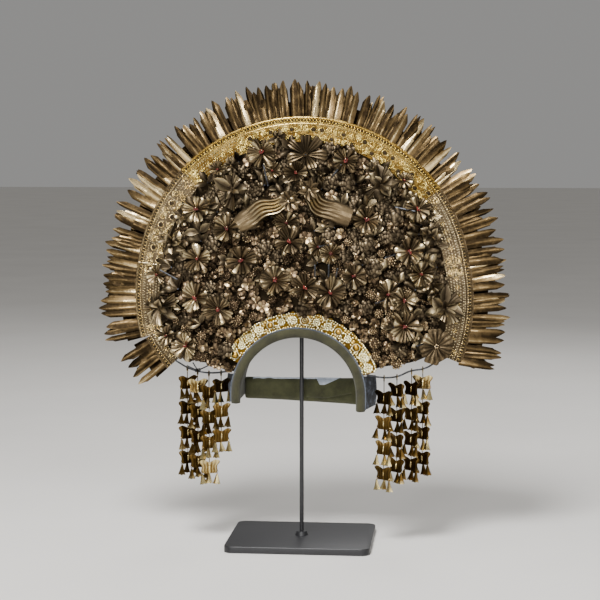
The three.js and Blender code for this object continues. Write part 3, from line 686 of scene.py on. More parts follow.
BLOSSOMS = 31
LEAFY_HEADS = (5, 6, 11, 12, 27, 28)
KINDS = {**dict.fromkeys(LEAFY_HEADS, "leafy"), 2: "shell", 30: "fan"}
SMALL_DAISIES = [  # across, up, radius, stand
    (37, 346, 13, 20),
    (22, 353, 12, 15),
    (-160, 246, 13, 17),
    (-172, 318, 13, 15),
    (-100, 442, 11, 8),
    (120, 430, 11, 10),
    (-34, 441, 12, 17),
]
LEAF_SPRAYS = [  # across, up, radius, stand
    (-28, 480, 13, 9),
    (-141, 386, 15, 11),
    (148, 390, 15, 11),
    (20, 436, 12, 13),
    (-113, 398, 15, 12),
    (-84, 446, 13, 9),
    (84, 444, 13, 9),
    (128, 408, 14, 10),
    (-156, 285, 14, 11),
    (158, 296, 14, 11),
]
STEM, CUSHION_STEM, THIN_STEM, FINE_STEM = 1.1, 1.0, 0.9, 0.8  # radius of the stem wires
HEART_RADIUS, SMALL_HEART_RADIUS = 17, 19  # radius of a flower whose heart has its full size
CUP_SHARE, CUP_ROOM = 0.21, 2  # how far the middle of a flower lies behind its front
# Tone of a flower in the middle, and what each millimetre to the right or the left adds to it
TONE_MIDDLE, TONE_RIGHT, TONE_LEFT = 0.15, 0.0014, 0.0019
heads = []  # across, up, radius and depth of every flower and cushion


def heart(tray, head, size):
    """A tuft of red thread in the middle of a flower, with a pale bead on it as a painted highlight."""
    for k in range(8):
        lean = turn("Z", 45 * k + chance.uniform(-15, 15)) @ turn("X", chance.uniform(4, 30))
        place = head @ lean @ sized(0.75 * size, 0.75 * size, chance.uniform(4.2, 6.6) * size)
        tray.lay(WIRE, place, chance.uniform(0.2, 0.8), slot=1)
    # A pale bead near the tip of the tuft: painted highlight, the white glint on the red thread
    tray.lay(BEAD, head @ shift(0.8 * size, 1.2 * size, 5.4 * size) @ evenly(0.85 * size), tone=1.0)


def petals(tray, head, shapes, count, scale, cup, spread, tone, trim=1.0, uneven=0.14):
    """A ring of petals, each a little out of true and some rubbed bright."""
    for k in range(count):
        long = scale * chance.uniform(1 - uneven, 1.06)
        place = (
            head
            @ turn("Z", 360 * k / count + chance.uniform(-7, 7))
            @ turn("X", cup + chance.uniform(-spread, spread))
            @ turn("Y", chance.uniform(-spread, spread))
            @ sized(scale * trim * chance.uniform(0.86, 1.06), long, scale)
        )
        shine = chance.uniform(0.12, 0.34) if chance.random() < 0.25 else chance.uniform(-0.24, 0.1)
        tray.lay(chance.choice(shapes), place, tone + shine, contrast=1.0)


def flower(tray, head, radius, kind, tone):
    """One flower of a kind."""
    if kind == "leafy":
        shapes, scale = LEAF_PETALS + WEDGE_PETALS, radius / LEAF_LONG
        petals(tray, head, shapes, 7, scale, cup=0, spread=24, tone=tone + 0.08, trim=1.05, uneven=0.34)
        inner = head @ shift(0, 0, 1.8) @ turn("Z", 30)
        scale = 0.66 * radius / LEAF_LONG
        petals(tray, inner, LEAF_PETALS, 4, scale, cup=20, spread=24, tone=tone + 0.06, trim=1.1, uneven=0.3)
    elif kind == "shell":
        petals(tray, head, [SHELL_PETAL], 7, radius / SHELL_LONG, cup=5, spread=24, tone=tone, trim=0.6)
    elif kind == "fan":
        scale = radius / SHELL_LONG
        petals(tray, head, [SHELL_PETAL], 7, scale, cup=3, spread=10, tone=tone - 0.2, trim=1.05)
    else:
        count, scale = chance.choice((10, 11, 12)), 1.05 * radius / DAISY_LONG
        petals(tray, head, DAISY_PETALS, count, scale, cup=17, spread=11, tone=tone, trim=1.36)


def blossom(node, number):
    """A main flower with its stem, in its node's place."""
    lo, hi = corners(node)
    across, up = (lo.x + hi.x) / 2, (lo.z + hi.z) / 2
    radius = max(hi.x - lo.x, hi.z - lo.z) / 2
    kind = KINDS.get(number, "daisy")
    middle = Vector((across, lo.y + CUP_SHARE * radius + CUP_ROOM, up))
    head = Matrix.Translation(middle) @ facing(across, up) @ turn("Z", chance.uniform(0, 40))
    tray = Tray()
    rise = TONE_RIGHT if across > 0 else TONE_LEFT
    flower(tray, head, radius, kind, TONE_MIDDLE + rise * abs(across))
    if kind == "daisy":
        heart(tray, head, radius / HEART_RADIUS)
    else:
        for k in range(5):
            tray.lay(GRANULE, head @ turn("Z", 72 * k) @ shift(0, 2.0, 2.4) @ evenly(1.5), tone=0.25)
    tray.lay(WIRE, between(middle, fan_foot(across, up), STEM), tone=0.4, slot=2)
    finish = tarnish if kind == "leafy" else aged_gilt
    seat(tray.piece(node + "_flower", [finish, red_thread, tin], crease=30), "aged_gilt", node)
    heads.append((across, up, radius, middle.y))


for number in range(1, BLOSSOMS + 1):
    blossom(f"blossom_{number:02d}", number)

tray = Tray()
for across, up, radius, stand in SMALL_DAISIES:
    foot = fan_foot(across, up)
    middle = Vector((across, foot.y - stand, up))
    head = Matrix.Translation(middle) @ facing(across, up)
    flower(tray, head, radius, "daisy", 0.36)
    heart(tray, head, radius / SMALL_HEART_RADIUS)
    tray.lay(WIRE, between(middle, foot, THIN_STEM), tone=0.4, slot=2)
    heads.append((across, up, radius, middle.y))
seat(tray.piece("small_daisies", [aged_gilt, red_thread, tin], crease=30), "aged_gilt")

tray = Tray()
for across, up, radius, stand in LEAF_SPRAYS:
    foot = fan_foot(across, up)
    middle = Vector((across, foot.y - stand, up))
    head = Matrix.Translation(middle) @ facing(across, up) @ turn("Z", chance.uniform(0, 40))
    flower(tray, head, radius, "leafy", 0.38)
    tray.lay(GRANULE, head @ shift(0, 0, 2.4) @ evenly(1.7), tone=0.5)
    tray.lay(WIRE, between(middle, foot, THIN_STEM), tone=0.4, slot=1)
    heads.append((across, up, radius, middle.y))
seat(tray.piece("leaf_sprays", [tarnish, tin], crease=30), "aged_gilt")


# Filler between the flowers

TARNISHED, STEMMED = 1, 2  # finishes of the filler, after the first


def granule_rosette(tray, head, size, tone):
    """A mound of gilt granules: a boss, a ring round it and a rim."""
    for count, reach, rise, grain in ((1, 0, 1.6, 1.7), (6, 2.7, 1.3, 1.25), (11, 5.1, 0, 1.3)):
        offset = chance.uniform(0, 60)
        ring_tone = tone + chance.uniform(-0.14, 0.14)
        for k in range(count):
            spot = turn("Z", offset + 360 * k / count + chance.uniform(-6, 6))
            place = head @ spot @ shift(0, reach * size * chance.uniform(0.94, 1.06), rise * size)
            place = place @ evenly(grain * size * chance.uniform(0.85, 1.15))
            tray.lay(GRANULE, place, ring_tone + chance.uniform(-0.24, 0.24))
    tray.lay(GRANULE, head @ sized(5.4 * size, 5.4 * size, 1.2 * size), tone=0.05)


def scaled_dome(tray, head, size, tone):
    """A cushion of overlapping scales, darker than the rest."""
    for count, reach, rise, pitch in ((7, 3.0, 0, 4), (5, 1.1, 1.6, 14), (3, -0.8, 2.8, 24)):
        offset = chance.uniform(0, 50)
        for k in range(count):
            place = head @ turn("Z", offset + 360 * k / count) @ shift(0, reach * size, rise * size)
            place = place @ turn("X", 12 - pitch) @ sized(0.94 * size, 0.94 * size, size)
            tray.lay(DOME_SCALE, place, tone + chance.uniform(-0.2, 0.2), TARNISHED, contrast=0.8)
    core = head @ shift(0, 0, 0.8 * size) @ sized(4.6 * size, 4.6 * size, 1.6 * size)
    tray.lay(GRANULE, core, tone=0.0, slot=TARNISHED)


def small_flower(tray, head, size, tone):
    """A six-petalled filler flower round a granule."""
    for k in range(6):
        place = head @ turn("Z", 60 * k + chance.uniform(-8, 8)) @ turn("X", chance.uniform(2, 30))
        tray.lay(SCALE, place @ sized(1.5 * size, 1.9 * size, size), tone + chance.uniform(-0.3, 0.3))
    tray.lay(GRANULE, head @ shift(0, 0, 0.8) @ evenly(1.3 * size), tone=0.7)


def flakes(tray, head, size, tone):
    """A crumpled clump of small leaves of sheet."""
    for k in range(11):
        reach = chance.uniform(0, 4.6) * size
        around = turn("Z", 360 * k / 11 + chance.uniform(-20, 20))
        place = head @ around @ shift(0, reach, 2.4 * size - 0.4 * reach)
        place = place @ turn("Z", chance.uniform(-60, 60)) @ turn("X", chance.uniform(-35, 50))
        place = place @ turn("Y", chance.uniform(-40, 40)) @ shift(0, -1.6 * size, 0)
        place = place @ sized(size * chance.uniform(0.9, 1.7), size * chance.uniform(1.0, 1.7), size)
        tray.lay(SCALE, place, tone + chance.uniform(-0.3, 0.34))
    tray.lay(GRANULE, head @ sized(4.8 * size, 4.8 * size, 1.2 * size), tone=0.05)


def sprig(tray, head, size, tone):
    """Three pointed leaves on one stem."""
    for k in range(3):
        place = head @ turn("Z", 75 * (k - 1) + chance.uniform(-15, 15)) @ turn("X", chance.uniform(0, 30))
        leaf = chance.choice(LEAF_PETALS)
        tray.lay(leaf, place @ evenly(0.5 * size), tone + chance.uniform(-0.2, 0.2), TARNISHED)


DOMES = [  # across, up: cushions that stand out in front
    (96, 399),
    (110, 388),
    (36, 428),
    (54, 425),
    (104, 364),
    (79, 355),
    (87, 329),
    (-52, 420),
    (-104, 355),
    (-40, 352),
]
CUSHION_STAND, CUSHION_RADIUS = 18, 8
FIELD_REACH, FIELD_WIDE, FIELD_LOW, FIELD_HIGH = 165, 174, 196, 484
DIADEM_CLEAR, BAND_CLEAR = 99, 80
CLEAR_FROM, CLEAR_TO = 13, 157  # degrees between which the diadem is in the way
FILLER_PITCH, GRAIN_PITCH, GRAIN_CLEAR, TRIES = 9.6, 4.6, 4.4, 16000
FILLER_STAND, LEAST_STAND, HEAD_ROOM = (7, 15), 2.5, 5
# Gilding left on the filler in the middle, what a millimetre to the right adds, and what one above a
# height takes away
GILDING, GILDING_RIGHT, GILDING_TOP, GILDING_HEIGHT = 0.08, 0.0006, 0.0028, 385
# Inner and outer share of each field, then the draws below which a filler is a mound, a clump of flakes,
# a cushion or a small flower; the rest are sprigs
FIELDS = {
    "low": (0, 0.4, 0.4, 0.72, 0.78, 0.97),
    "middle": (0.4, 0.68, 0.22, 0.54, 0.7, 0.88),
    "high": (0.68, 1.01, 0.06, 0.26, 0.54, 0.62),
}


def scattered(spacing, tries, taken):
    """Random spots on the fan, apart from each other and out of the circles that are taken."""
    kept, circles = np.empty((0, 2)), np.array(taken)
    for _ in range(tries):
        across, up = chance.uniform(-FIELD_WIDE, FIELD_WIDE), chance.uniform(FIELD_LOW, FIELD_HIGH)
        if math.hypot(across, up - HALO_UP) > FIELD_REACH:
            continue
        above = math.degrees(math.atan2(up - ARCH_UP, across))
        clear = DIADEM_CLEAR if CLEAR_FROM < above < CLEAR_TO else BAND_CLEAR
        if math.hypot(across, up - ARCH_UP) < clear or not 0.005 < fan_place(across, up)[1] < 0.995:
            continue
        spot = np.array((across, up))
        if (np.hypot(*(circles[:, :2] - spot).T) < circles[:, 2]).any():
            continue
        if len(kept) and np.hypot(*(kept - spot).T).min() < spacing:
            continue
        kept = np.vstack((kept, spot))
    return [tuple(float(c) for c in spot) for spot in kept]


def stand_room(across, up, foot, reach):
    """How far a filler may stand out before it meets the back of a flower."""
    room = [
        foot.y - depth - HEAD_ROOM
        for x, z, radius, depth in heads
        if math.hypot(across - x, up - z) < radius + reach
    ]
    return min(room, default=AWAY)


def filler_head(across, up, stand, tilt):
    """Foot, middle and place of a filler that stands off the fan plate."""
    foot = fan_foot(across, up)
    middle = Vector((across, foot.y - stand, up))
    head = Matrix.Translation(middle) @ facing(across, up) @ turn("X", chance.uniform(-tilt, tilt))
    return foot, middle, head @ turn("Y", chance.uniform(-tilt, tilt)) @ turn("Z", chance.uniform(0, 60))


tray = Tray()
for across, up in DOMES:
    stand = min(CUSHION_STAND, stand_room(across, up, fan_foot(across, up), 2))
    foot, middle, head = filler_head(across, up, stand, 10)
    scaled_dome(tray, head, chance.uniform(1.15, 1.4), 0.1)
    tray.lay(WIRE, between(middle, foot, CUSHION_STEM), tone=0.4, slot=STEMMED)
    heads.append((across, up, CUSHION_RADIUS, middle.y))
seat(tray.piece("scaled_cushions", [tarnish, tarnish, tin]), "aged_gilt")

DARK_GAPS = [  # across, up, radius: places where the dark plate, painted dark as shade, shows between the flowers
    (21, 360, 9),
    (-10, 334, 7),
    (12, 332, 8),
    (33, 330, 10),
    (74, 313, 8),
    (0, 288, 8),
    (-43, 296, 8),
    (-121, 421, 10),
    (-72, 392, 6),
]
taken = [(x, z, 0.5 * r) for x, z, r, _ in heads] + DARK_GAPS
spots = scattered(FILLER_PITCH, TRIES, taken)
small_spots = scattered(GRAIN_PITCH, TRIES, taken + [(x, z, GRAIN_CLEAR) for x, z in spots])

for field, (inner, outer, mounds, clumps, cushions, florets) in FIELDS.items():
    tray = Tray()
    for across, up in spots:
        if not inner <= fan_place(across, up)[0] < outer:
            continue
        stand = min(chance.uniform(*FILLER_STAND), stand_room(across, up, fan_foot(across, up), 4))
        if stand < LEAST_STAND:
            continue
        foot, middle, head = filler_head(across, up, stand, 16)
        draw, size = chance.random(), chance.uniform(0.8, 1.2)
        # Less of the gilding is left on the left side and at the top
        gilding = GILDING + GILDING_RIGHT * across - GILDING_TOP * max(up - GILDING_HEIGHT, 0)
        if draw < mounds:
            granule_rosette(tray, head, size, gilding + chance.uniform(0.22, 0.44))
        elif draw < clumps:
            flakes(tray, head, size, gilding + 0.36)
        elif draw < cushions:
            scaled_dome(tray, head, 1.1 * size, 0.1)
        elif draw < florets:
            small_flower(tray, head, 1.15 * size, gilding + 0.4)
        else:
            sprig(tray, head, 1.3 * size, gilding + 0.4)
        tray.lay(WIRE, between(middle, foot, FINE_STEM), tone=0.4, slot=STEMMED)
    for across, up in small_spots:
        if inner <= fan_place(across, up)[0] < outer:
            _, _, head = filler_head(across, up, 1.4, 20)
            for k in range(6):
                out = shift(0, 1.9 * chance.uniform(0.9, 1.3), chance.uniform(0, 1))
                place = head @ turn("Z", 60 * k) @ out
                tray.lay(GRANULE, place @ evenly(chance.uniform(0.9, 1.5)), chance.uniform(0.0, 0.36))
            tray.lay(GRANULE, head @ shift(0, 0, 0.9) @ evenly(1.5), chance.uniform(0.1, 0.5))
    seat(tray.piece(f"rosettes_{field}", [granulated, tarnish, tin], crease=50), "aged_gilt")

PINS = [  # bare stems that show between the flowers: head across and up, foot across and up
    (-43.6, 447.7, -38.9, 424),
    (46.7, 447.7, 34.9, 432.4),
    (-166, 323.8, -146.9, 313.2),
    (132.8, 394.6, 110.4, 399),
    (99.8, 341.5, 113.9, 345),
    (19.5, 333, 19.5, 320),
    (35.4, 333, 34.9, 320),
    (45.5, 329, 43, 318),
    (24, 354.5, 35, 356),
    (137, 239, 151, 241),
    (90, 290, 100, 293),
]
PIN_STAND, PIN_KNEE = 24, 19
KNEE_SIZE, KNOB_SIZE = 1.0, 1.3
tray = Tray()
for x0, z0, x1, z1 in PINS:
    foot = fan_foot(x1, z1)
    tip = Vector((x0, fan_foot(x0, z0).y - PIN_STAND, z0))
    knee = foot - Vector((0, PIN_KNEE, 0))
    for start, end, size in ((foot, knee, KNEE_SIZE), (knee, tip, KNOB_SIZE)):
        tray.lay(WIRE, between(start, end, THIN_STEM), tone=0.5)
        tray.lay(GRANULE, Matrix.Translation(end) @ evenly(size), tone=0.5)
seat(tray.piece("bare_stems", [tin_wire], crease=50), "tin")


# Fan plate


def fan_middle(u, v):
    """A point halfway through the fan plate."""
    return fan_point(v, 1 - u) + Vector((0, FAN_THICK / 2, 0))


tray = Tray()
# The plate's dark colour is painted shade for the gaps between the flowers
tray.lay(mapped_sheet(96, 20, fan_middle, FAN_THICK), tone=0.25)
seat(tray.piece("fan_sheet", [dark_brass]), "dark_brass", "fan_plate")


# Halo

HALO_PLATES = [  # from, to, blades, strip, hinge, turn: degrees and millimetres; scrolls; shine
    (-27, 8, 14, 30, 8, 5, False, 0.74),
    (8, 34, 10, 30, 21, 0, False, 0.74),
    (34, 57, 9, 30, 45, 0, True, 0.8),
    (57, 84, 11, 30, 70, 0, True, 0.9),
    (84, 112, 11, 30, 98, 0, True, 1.0),
    (112, 136, 9, 30, 124, 0, False, 0.9),
    (136, 147, 4, 30, 141, 0, False, 0.66),
    (147, 172, 10, 30, 160, 0, True, 1.2),
    (172, 199, 11, 30, 172, -4, False, 1.2),
    (200, 211, 4, 18, 200, 10, False, 0.74),
]
# The strips of the top plates take the bright gilding: their own lemon gold, and partly a painted highlight
# where the light falls on the top
BRIGHT_PLATES = (2, 3, 4, 5)
DULL_PLATES = (0, 1)  # their blades are duller
BLADE_TONES = (0.05, 0.13, 0.24, 0.4, 0.78)
BEHIND_LEFT_OUT = 0.45  # share of the blades behind that are gone
# Plates whose blades are bent towards level at the free end, and how far
BENT_PLATES = {0: 14}
STRIP_RADIUS = 199
LADDER_RADIUS = 194.6
FIELD_RADIUS = 190.6
GRAIN_RADII = (FIELD_RADIUS - 1.7, FIELD_RADIUS + 1.6)
# Degrees from one grain, ring, scroll or stud to the next, and millimetres from row to row of studs
GRAIN_STEP, RING_STEP, SCROLL_STEP, STUD_STEP, STUD_ROW = 0.8, 1.1, 4.2, 1.08, 3.4
PLEAT_REACH = 17
PLEAT_DEEP = 0.8
EMBOSS_DEEP = 0.6
HALO_LAP = 0.9


def halo_plate(index, first, last, blades, width, hinge, tilt, scrolls, shine):
    """A strip of embossed sheet with a fringe of creased blades."""
    node = f"halo_{index + 1:02d}"
    front = corners(node)[0].y
    lap = HALO_LAP if index % 2 else 0
    first, last, inner = first - lap, last + lap, STRIP_RADIUS - width
    pivot = round_place(STRIP_RADIUS, hinge, 0, HALO_UP).to_translation()
    hung = Matrix.Translation(pivot) @ turn("Y", -tilt) @ Matrix.Translation(-pivot)
    bright = index in BRIGHT_PLATES
    tray = Tray()
    span = last - first

    def spot(radius, degrees, lift):
        """A place on the plate, lifted off its front."""
        return hung @ round_place(radius, degrees, front - lift, HALO_UP)

    def embossed(u, v):
        """A point on the strip, with its low relief."""
        radius, degrees = blend(inner, STRIP_RADIUS, v), blend(last, first, u)
        relief = EMBOSS_DEEP * noise.noise((0.3 * radius, 1.0 * degrees, 7 * index))
        return spot(radius, degrees, relief).to_translation()

    def pleated(u, v):
        """A point on the pleated sheet behind the feet of the blades."""
        radius = STRIP_RADIUS - 3 + (PLEAT_REACH + 3) * v
        fold = PLEAT_DEEP * math.cos(4 * math.pi * blades * u)
        return spot(radius, blend(last, first, u), fold - 1.8).to_translation()

    def line(radius, wire, tone):
        """A thin raised line along the strip."""
        steps = max(int(span / 2), 3)
        for k in range(steps):
            ends = [spot(radius, blend(first + 0.4, last - 0.4, (k + e) / steps), 0.5) for e in (0, 1)]
            tray.lay(WIRE, between(*(end.to_translation() for end in ends), wire), tone, slot=1)

    def stud(radius, degrees, size):
        """A grain on the strip."""
        tone = shine + chance.uniform(-0.2, 0.35)
        tray.lay(GRANULE, spot(radius, degrees, 0.8) @ evenly(size), tone, slot=1)

    def curl(radius, degrees, size, flip=0):
        """A scroll of wire on the strip, turned at random."""
        place = spot(radius, degrees, 1.4) @ turn("Y", flip) @ turn("Z", chance.uniform(0, 360))
        tray.lay(SCROLL, place @ sized(size, size, 1.2), shine + chance.uniform(0, 0.25), slot=1)

    ground = mapped_sheet(int(span / 0.7), 14, embossed, 0.8)
    tray.lay(ground, tone=0.0 if bright else 0.25, slot=1 if bright else 2)
    tray.lay(mapped_sheet(4 * blades, 2, pleated, 0.4, lambda u, v: 0.4 * v), tone=0.15)
    pitch = span / blades
    dulled = 0.7 if index in DULL_PLATES else 1.05
    bent = BENT_PLATES.get(index, 0)
    for k in range(2 * blades - 1):
        behind = k % 2
        if behind and chance.random() < BEHIND_LEFT_OUT:
            continue
        degrees = first + (k + 1) * pitch / 2 + chance.uniform(-0.6, 0.6)
        long = chance.uniform(0.56, 0.82) if behind else chance.uniform(0.82, 1.0)
        lift = chance.uniform(-2.0, -1.4) if behind else chance.uniform(-0.9, -0.3)
        place = (
            spot(STRIP_RADIUS, degrees, lift)
            @ turn("Z", bent * (last - degrees) / span + chance.uniform(-3, 3))
            @ turn("Y", chance.uniform(-9, 9))
            @ turn("X", chance.uniform(-5, 5))
            @ sized(chance.uniform(0.8, 1.12), long, 1)
        )
        # Blades behind are much darker than those in front: painted shade between the blades in front
        tone = chance.uniform(0.0, 0.15) if behind else dulled * chance.choice(BLADE_TONES)
        tip = chance.choices(BLADES, BLADE_SHARES)[0]
        tray.lay(chance.choice(tip), place, tone, contrast=1.0)
    # A ladder of rings between two lines along the feet of the blades
    for radius in (STRIP_RADIUS - 1.2, FIELD_RADIUS):
        line(radius, 0.45, shine - 0.6)
    for degrees in (first + 0.5, last - 0.5):
        ends = [spot(radius, degrees, 0.5).to_translation() for radius in (inner + 0.6, STRIP_RADIUS - 1.2)]
        tray.lay(WIRE, between(*ends, 0.5), shine - 0.6, slot=1)
    rings = int(span / RING_STEP)
    for k in range(rings):
        place = spot(LADDER_RADIUS, blend(first, last, (k + 0.5) / rings), 0.9)
        tray.lay(RING, place @ sized(1.15, 1.4, 2.0), shine + chance.uniform(-0.1, 0.3), slot=1)
        # A flat dark granule in each ring: painted shade in its hollow
        tray.lay(GRANULE, place @ shift(0, 0, -0.3) @ sized(1.1, 1.2, 0.6), 0.0, 2, 0.0)
    # A row of fine grains on either side of the inner line
    grains = int(span / GRAIN_STEP)
    for radius in GRAIN_RADII:
        for k in range(grains):
            place = spot(radius, blend(first, last, (k + 0.5) / grains), 0.7)
            tray.lay(GRANULE, place @ evenly(0.9), shine + 0.1 * (k % 3), slot=1)
    # Scrolls or rows of studs on the field of the strip
    field = FIELD_RADIUS - inner
    if scrolls:
        steps = max(round(span / SCROLL_STEP), 1)
        for k in range(steps):
            middle = blend(first, last, (k + 0.5) / steps)
            eye = FIELD_RADIUS - 7 if k % 2 == 0 else inner + 6
            far = inner + 5.4 if k % 2 == 0 else FIELD_RADIUS - 5.6
            place = spot(eye, middle, 0.9) @ sized(1.1, 1.0, 1.2)
            tray.lay(EYE_RING, place, shine + chance.uniform(-0.2, 0.1), slot=1)
            # A flat dark granule in the eye: painted shade in its hollow
            tray.lay(GRANULE, spot(eye, middle, 0.4) @ sized(2.9, 2.6, 0.7), 0.0, 2, 0.0)
            for _ in range(6):
                radius, degrees = eye + chance.uniform(-5, 5), middle + chance.choice((-1.7, 1.7))
                stud(radius, degrees, chance.uniform(0.8, 1.2))
            curl(far, middle - 1.3, 0.95)
            curl(far, middle + 1.3, 0.9, 180)
            for _ in range(14):
                degrees = middle + chance.uniform(-2, 2)
                stud(far + chance.uniform(-5, 5), degrees, chance.uniform(0.8, 1.3))
    else:
        rows = round(field / STUD_ROW)
        for row in range(rows):
            radius = inner + 1 + (field - 1) * row / rows
            count = round(span / STUD_STEP)
            for k in range(count):
                degrees = blend(first, last, (k + 0.25 + 0.5 * (row % 2)) / count)
                if row == rows // 2 and k % 3 == 0:
                    tray.lay(RING, spot(radius, degrees, 1.1) @ sized(1.4, 1.4, 1.8), shine + 0.15, 1)
                stud(radius, degrees, chance.uniform(0.85, 1.25))
        for degrees in (first + 2.4, last - 2.4) if width > 20 else ():
            for radius in (inner + 5.4, FIELD_RADIUS - 5):
                curl(radius, degrees, 1.0)
    finishes = [blade_gilt, bright_gilt if bright else pale_gilt, aged_gilt]
    seat(tray.piece(node + "_plate", finishes, crease=30), "pale_gilt", node)


for index, row in enumerate(HALO_PLATES):
    halo_plate(index, *row)


# Diadem

DIADEM_START, DIADEM_END = 17, 153
DIADEM_FRONT = -38.6
DIADEM_INNER, DIADEM_OUTER, SCALLOP = 74.2, 95, 2.2
BEAD_ROWS, FIRST_ROW, ROW_PITCH, BEAD_PITCH = 8, 76.4, 2.65, 3.1
BEAD_TONES = (0.3, 0.8, 1.0, 1.1, 1.1)
BARE_ABOVE = 0.24  # noise above which the beads are gone
# Bosses from the right foot to the left one
BOSS_KINDS = (
    *("rosette", "rosette", "amber", "rosette", "amber", "rosette", "rosette", "ring"),
    *("rosette", "rosette", "amber", "rosette", "rosette", "rosette", "amber"),
)
BOSSES = len(BOSS_KINDS)
BOSS_CIRCLE, BOSS_CLEAR = 87, 5.4


def diadem():
    """The bright beaded strip along the arch."""
    tray = Tray()

    def spot(radius, degrees, lift):
        """A place on the strip, lifted off its front."""
        return round_place(radius, degrees, DIADEM_FRONT - lift, ARCH_UP)

    def scalloped(u, v):
        """A point on the strip, with waves along its outer edge."""
        wave = math.cos(2 * math.pi * BOSSES * u - math.pi)
        radius = blend(DIADEM_INNER, DIADEM_OUTER + SCALLOP * wave, v)
        return spot(radius, blend(DIADEM_END, DIADEM_START, u), -0.6).to_translation()

    tray.lay(mapped_sheet(90, 4, scalloped, 1.2), tone=0.15, slot=1)
    step = (DIADEM_END - DIADEM_START) / BOSSES
    for row in range(BEAD_ROWS):
        radius = FIRST_ROW + ROW_PITCH * row
        count = round(math.radians(DIADEM_END - DIADEM_START) * radius / BEAD_PITCH)
        for k in range(count):
            degrees = blend(DIADEM_START + 0.6, DIADEM_END - 0.6, (k + 0.25 + 0.5 * (row % 2)) / count)
            from_boss = ((degrees - DIADEM_START) % step - step / 2) * math.radians(1) * BOSS_CIRCLE
            if math.hypot(from_boss, radius - BOSS_CIRCLE) < BOSS_CLEAR:
                continue
            bare = noise.noise((degrees / 7, radius / 5, 3)) > BARE_ABOVE
            if bare and 0 < row < BEAD_ROWS - 1:
                continue
            place = spot(radius + chance.uniform(-0.4, 0.4), degrees, chance.uniform(0.4, 1.3))
            size = chance.uniform(1.2, 1.95)
            tray.lay(GRANULE, place @ sized(size, size, 0.8 * size), chance.choice(BEAD_TONES))
    for k, kind in enumerate(BOSS_KINDS):
        place = spot(BOSS_CIRCLE, DIADEM_START + (k + 0.5) * step, 1.4) @ evenly(chance.uniform(0.9, 1.16))
        if kind == "amber":
            tray.lay(BOSS_RING, place, tone=0.8)
            tray.lay(BEAD, place @ shift(0, 0, -1) @ sized(3.9, 3.9, 1.6), tone=0.35, slot=1)
        elif kind == "ring":
            tray.lay(BOSS_RING, place @ sized(1.1, 1.1, 1.4), tone=1.0)
            tray.lay(BOSS_RING, place @ evenly(0.55), tone=0.8)
            tray.lay(GRANULE, place @ evenly(1.2), tone=1.0)
        else:
            for j in range(9):
                petal = place @ turn("Z", 40 * j) @ shift(0, 3.9, 0)
                tray.lay(GRANULE, petal @ sized(1.75, 1.75, 1.4), chance.uniform(0.8, 1.1))
            for j in range(5):
                petal = place @ turn("Z", 72 * j) @ shift(0, 1.7, 0.5)
                tray.lay(GRANULE, petal @ sized(1.3, 1.3, 1.1), chance.uniform(0.7, 1.1))
    return tray.piece("diadem_strip", [bead_gilt, amber_gilt], crease=50)


seat(diadem(), "bright_gilt", "diadem")


# Birds

RIBS = 5
RIB_DEEP, BIRD_CROWN, BIRD_SWAY = 1.4, 3.0, 2.6
# Spine from breast to tail: across, up and half width; then the head, the beak and the gilding that is left
BIRDS = {
    "bird_left": (
        [
            (-14, 408, 7),
            (-26, 403, 9.5),
            (-39, 397.5, 11.5),
            (-52, 390.5, 12),
            (-64, 383, 11.5),
            (-72, 378, 9.5),
        ],
        (-8, 408),
        (4, 402),
        0.68,
    ),
    "bird_right": (
        [(9, 420, 7), (12.5, 411, 9.5), (21, 403.5, 11.5), (34, 397, 12), (49, 391, 12), (60, 387, 11)],
        (6, 420),
        (-4, 415),
        0.55,
    ),
}


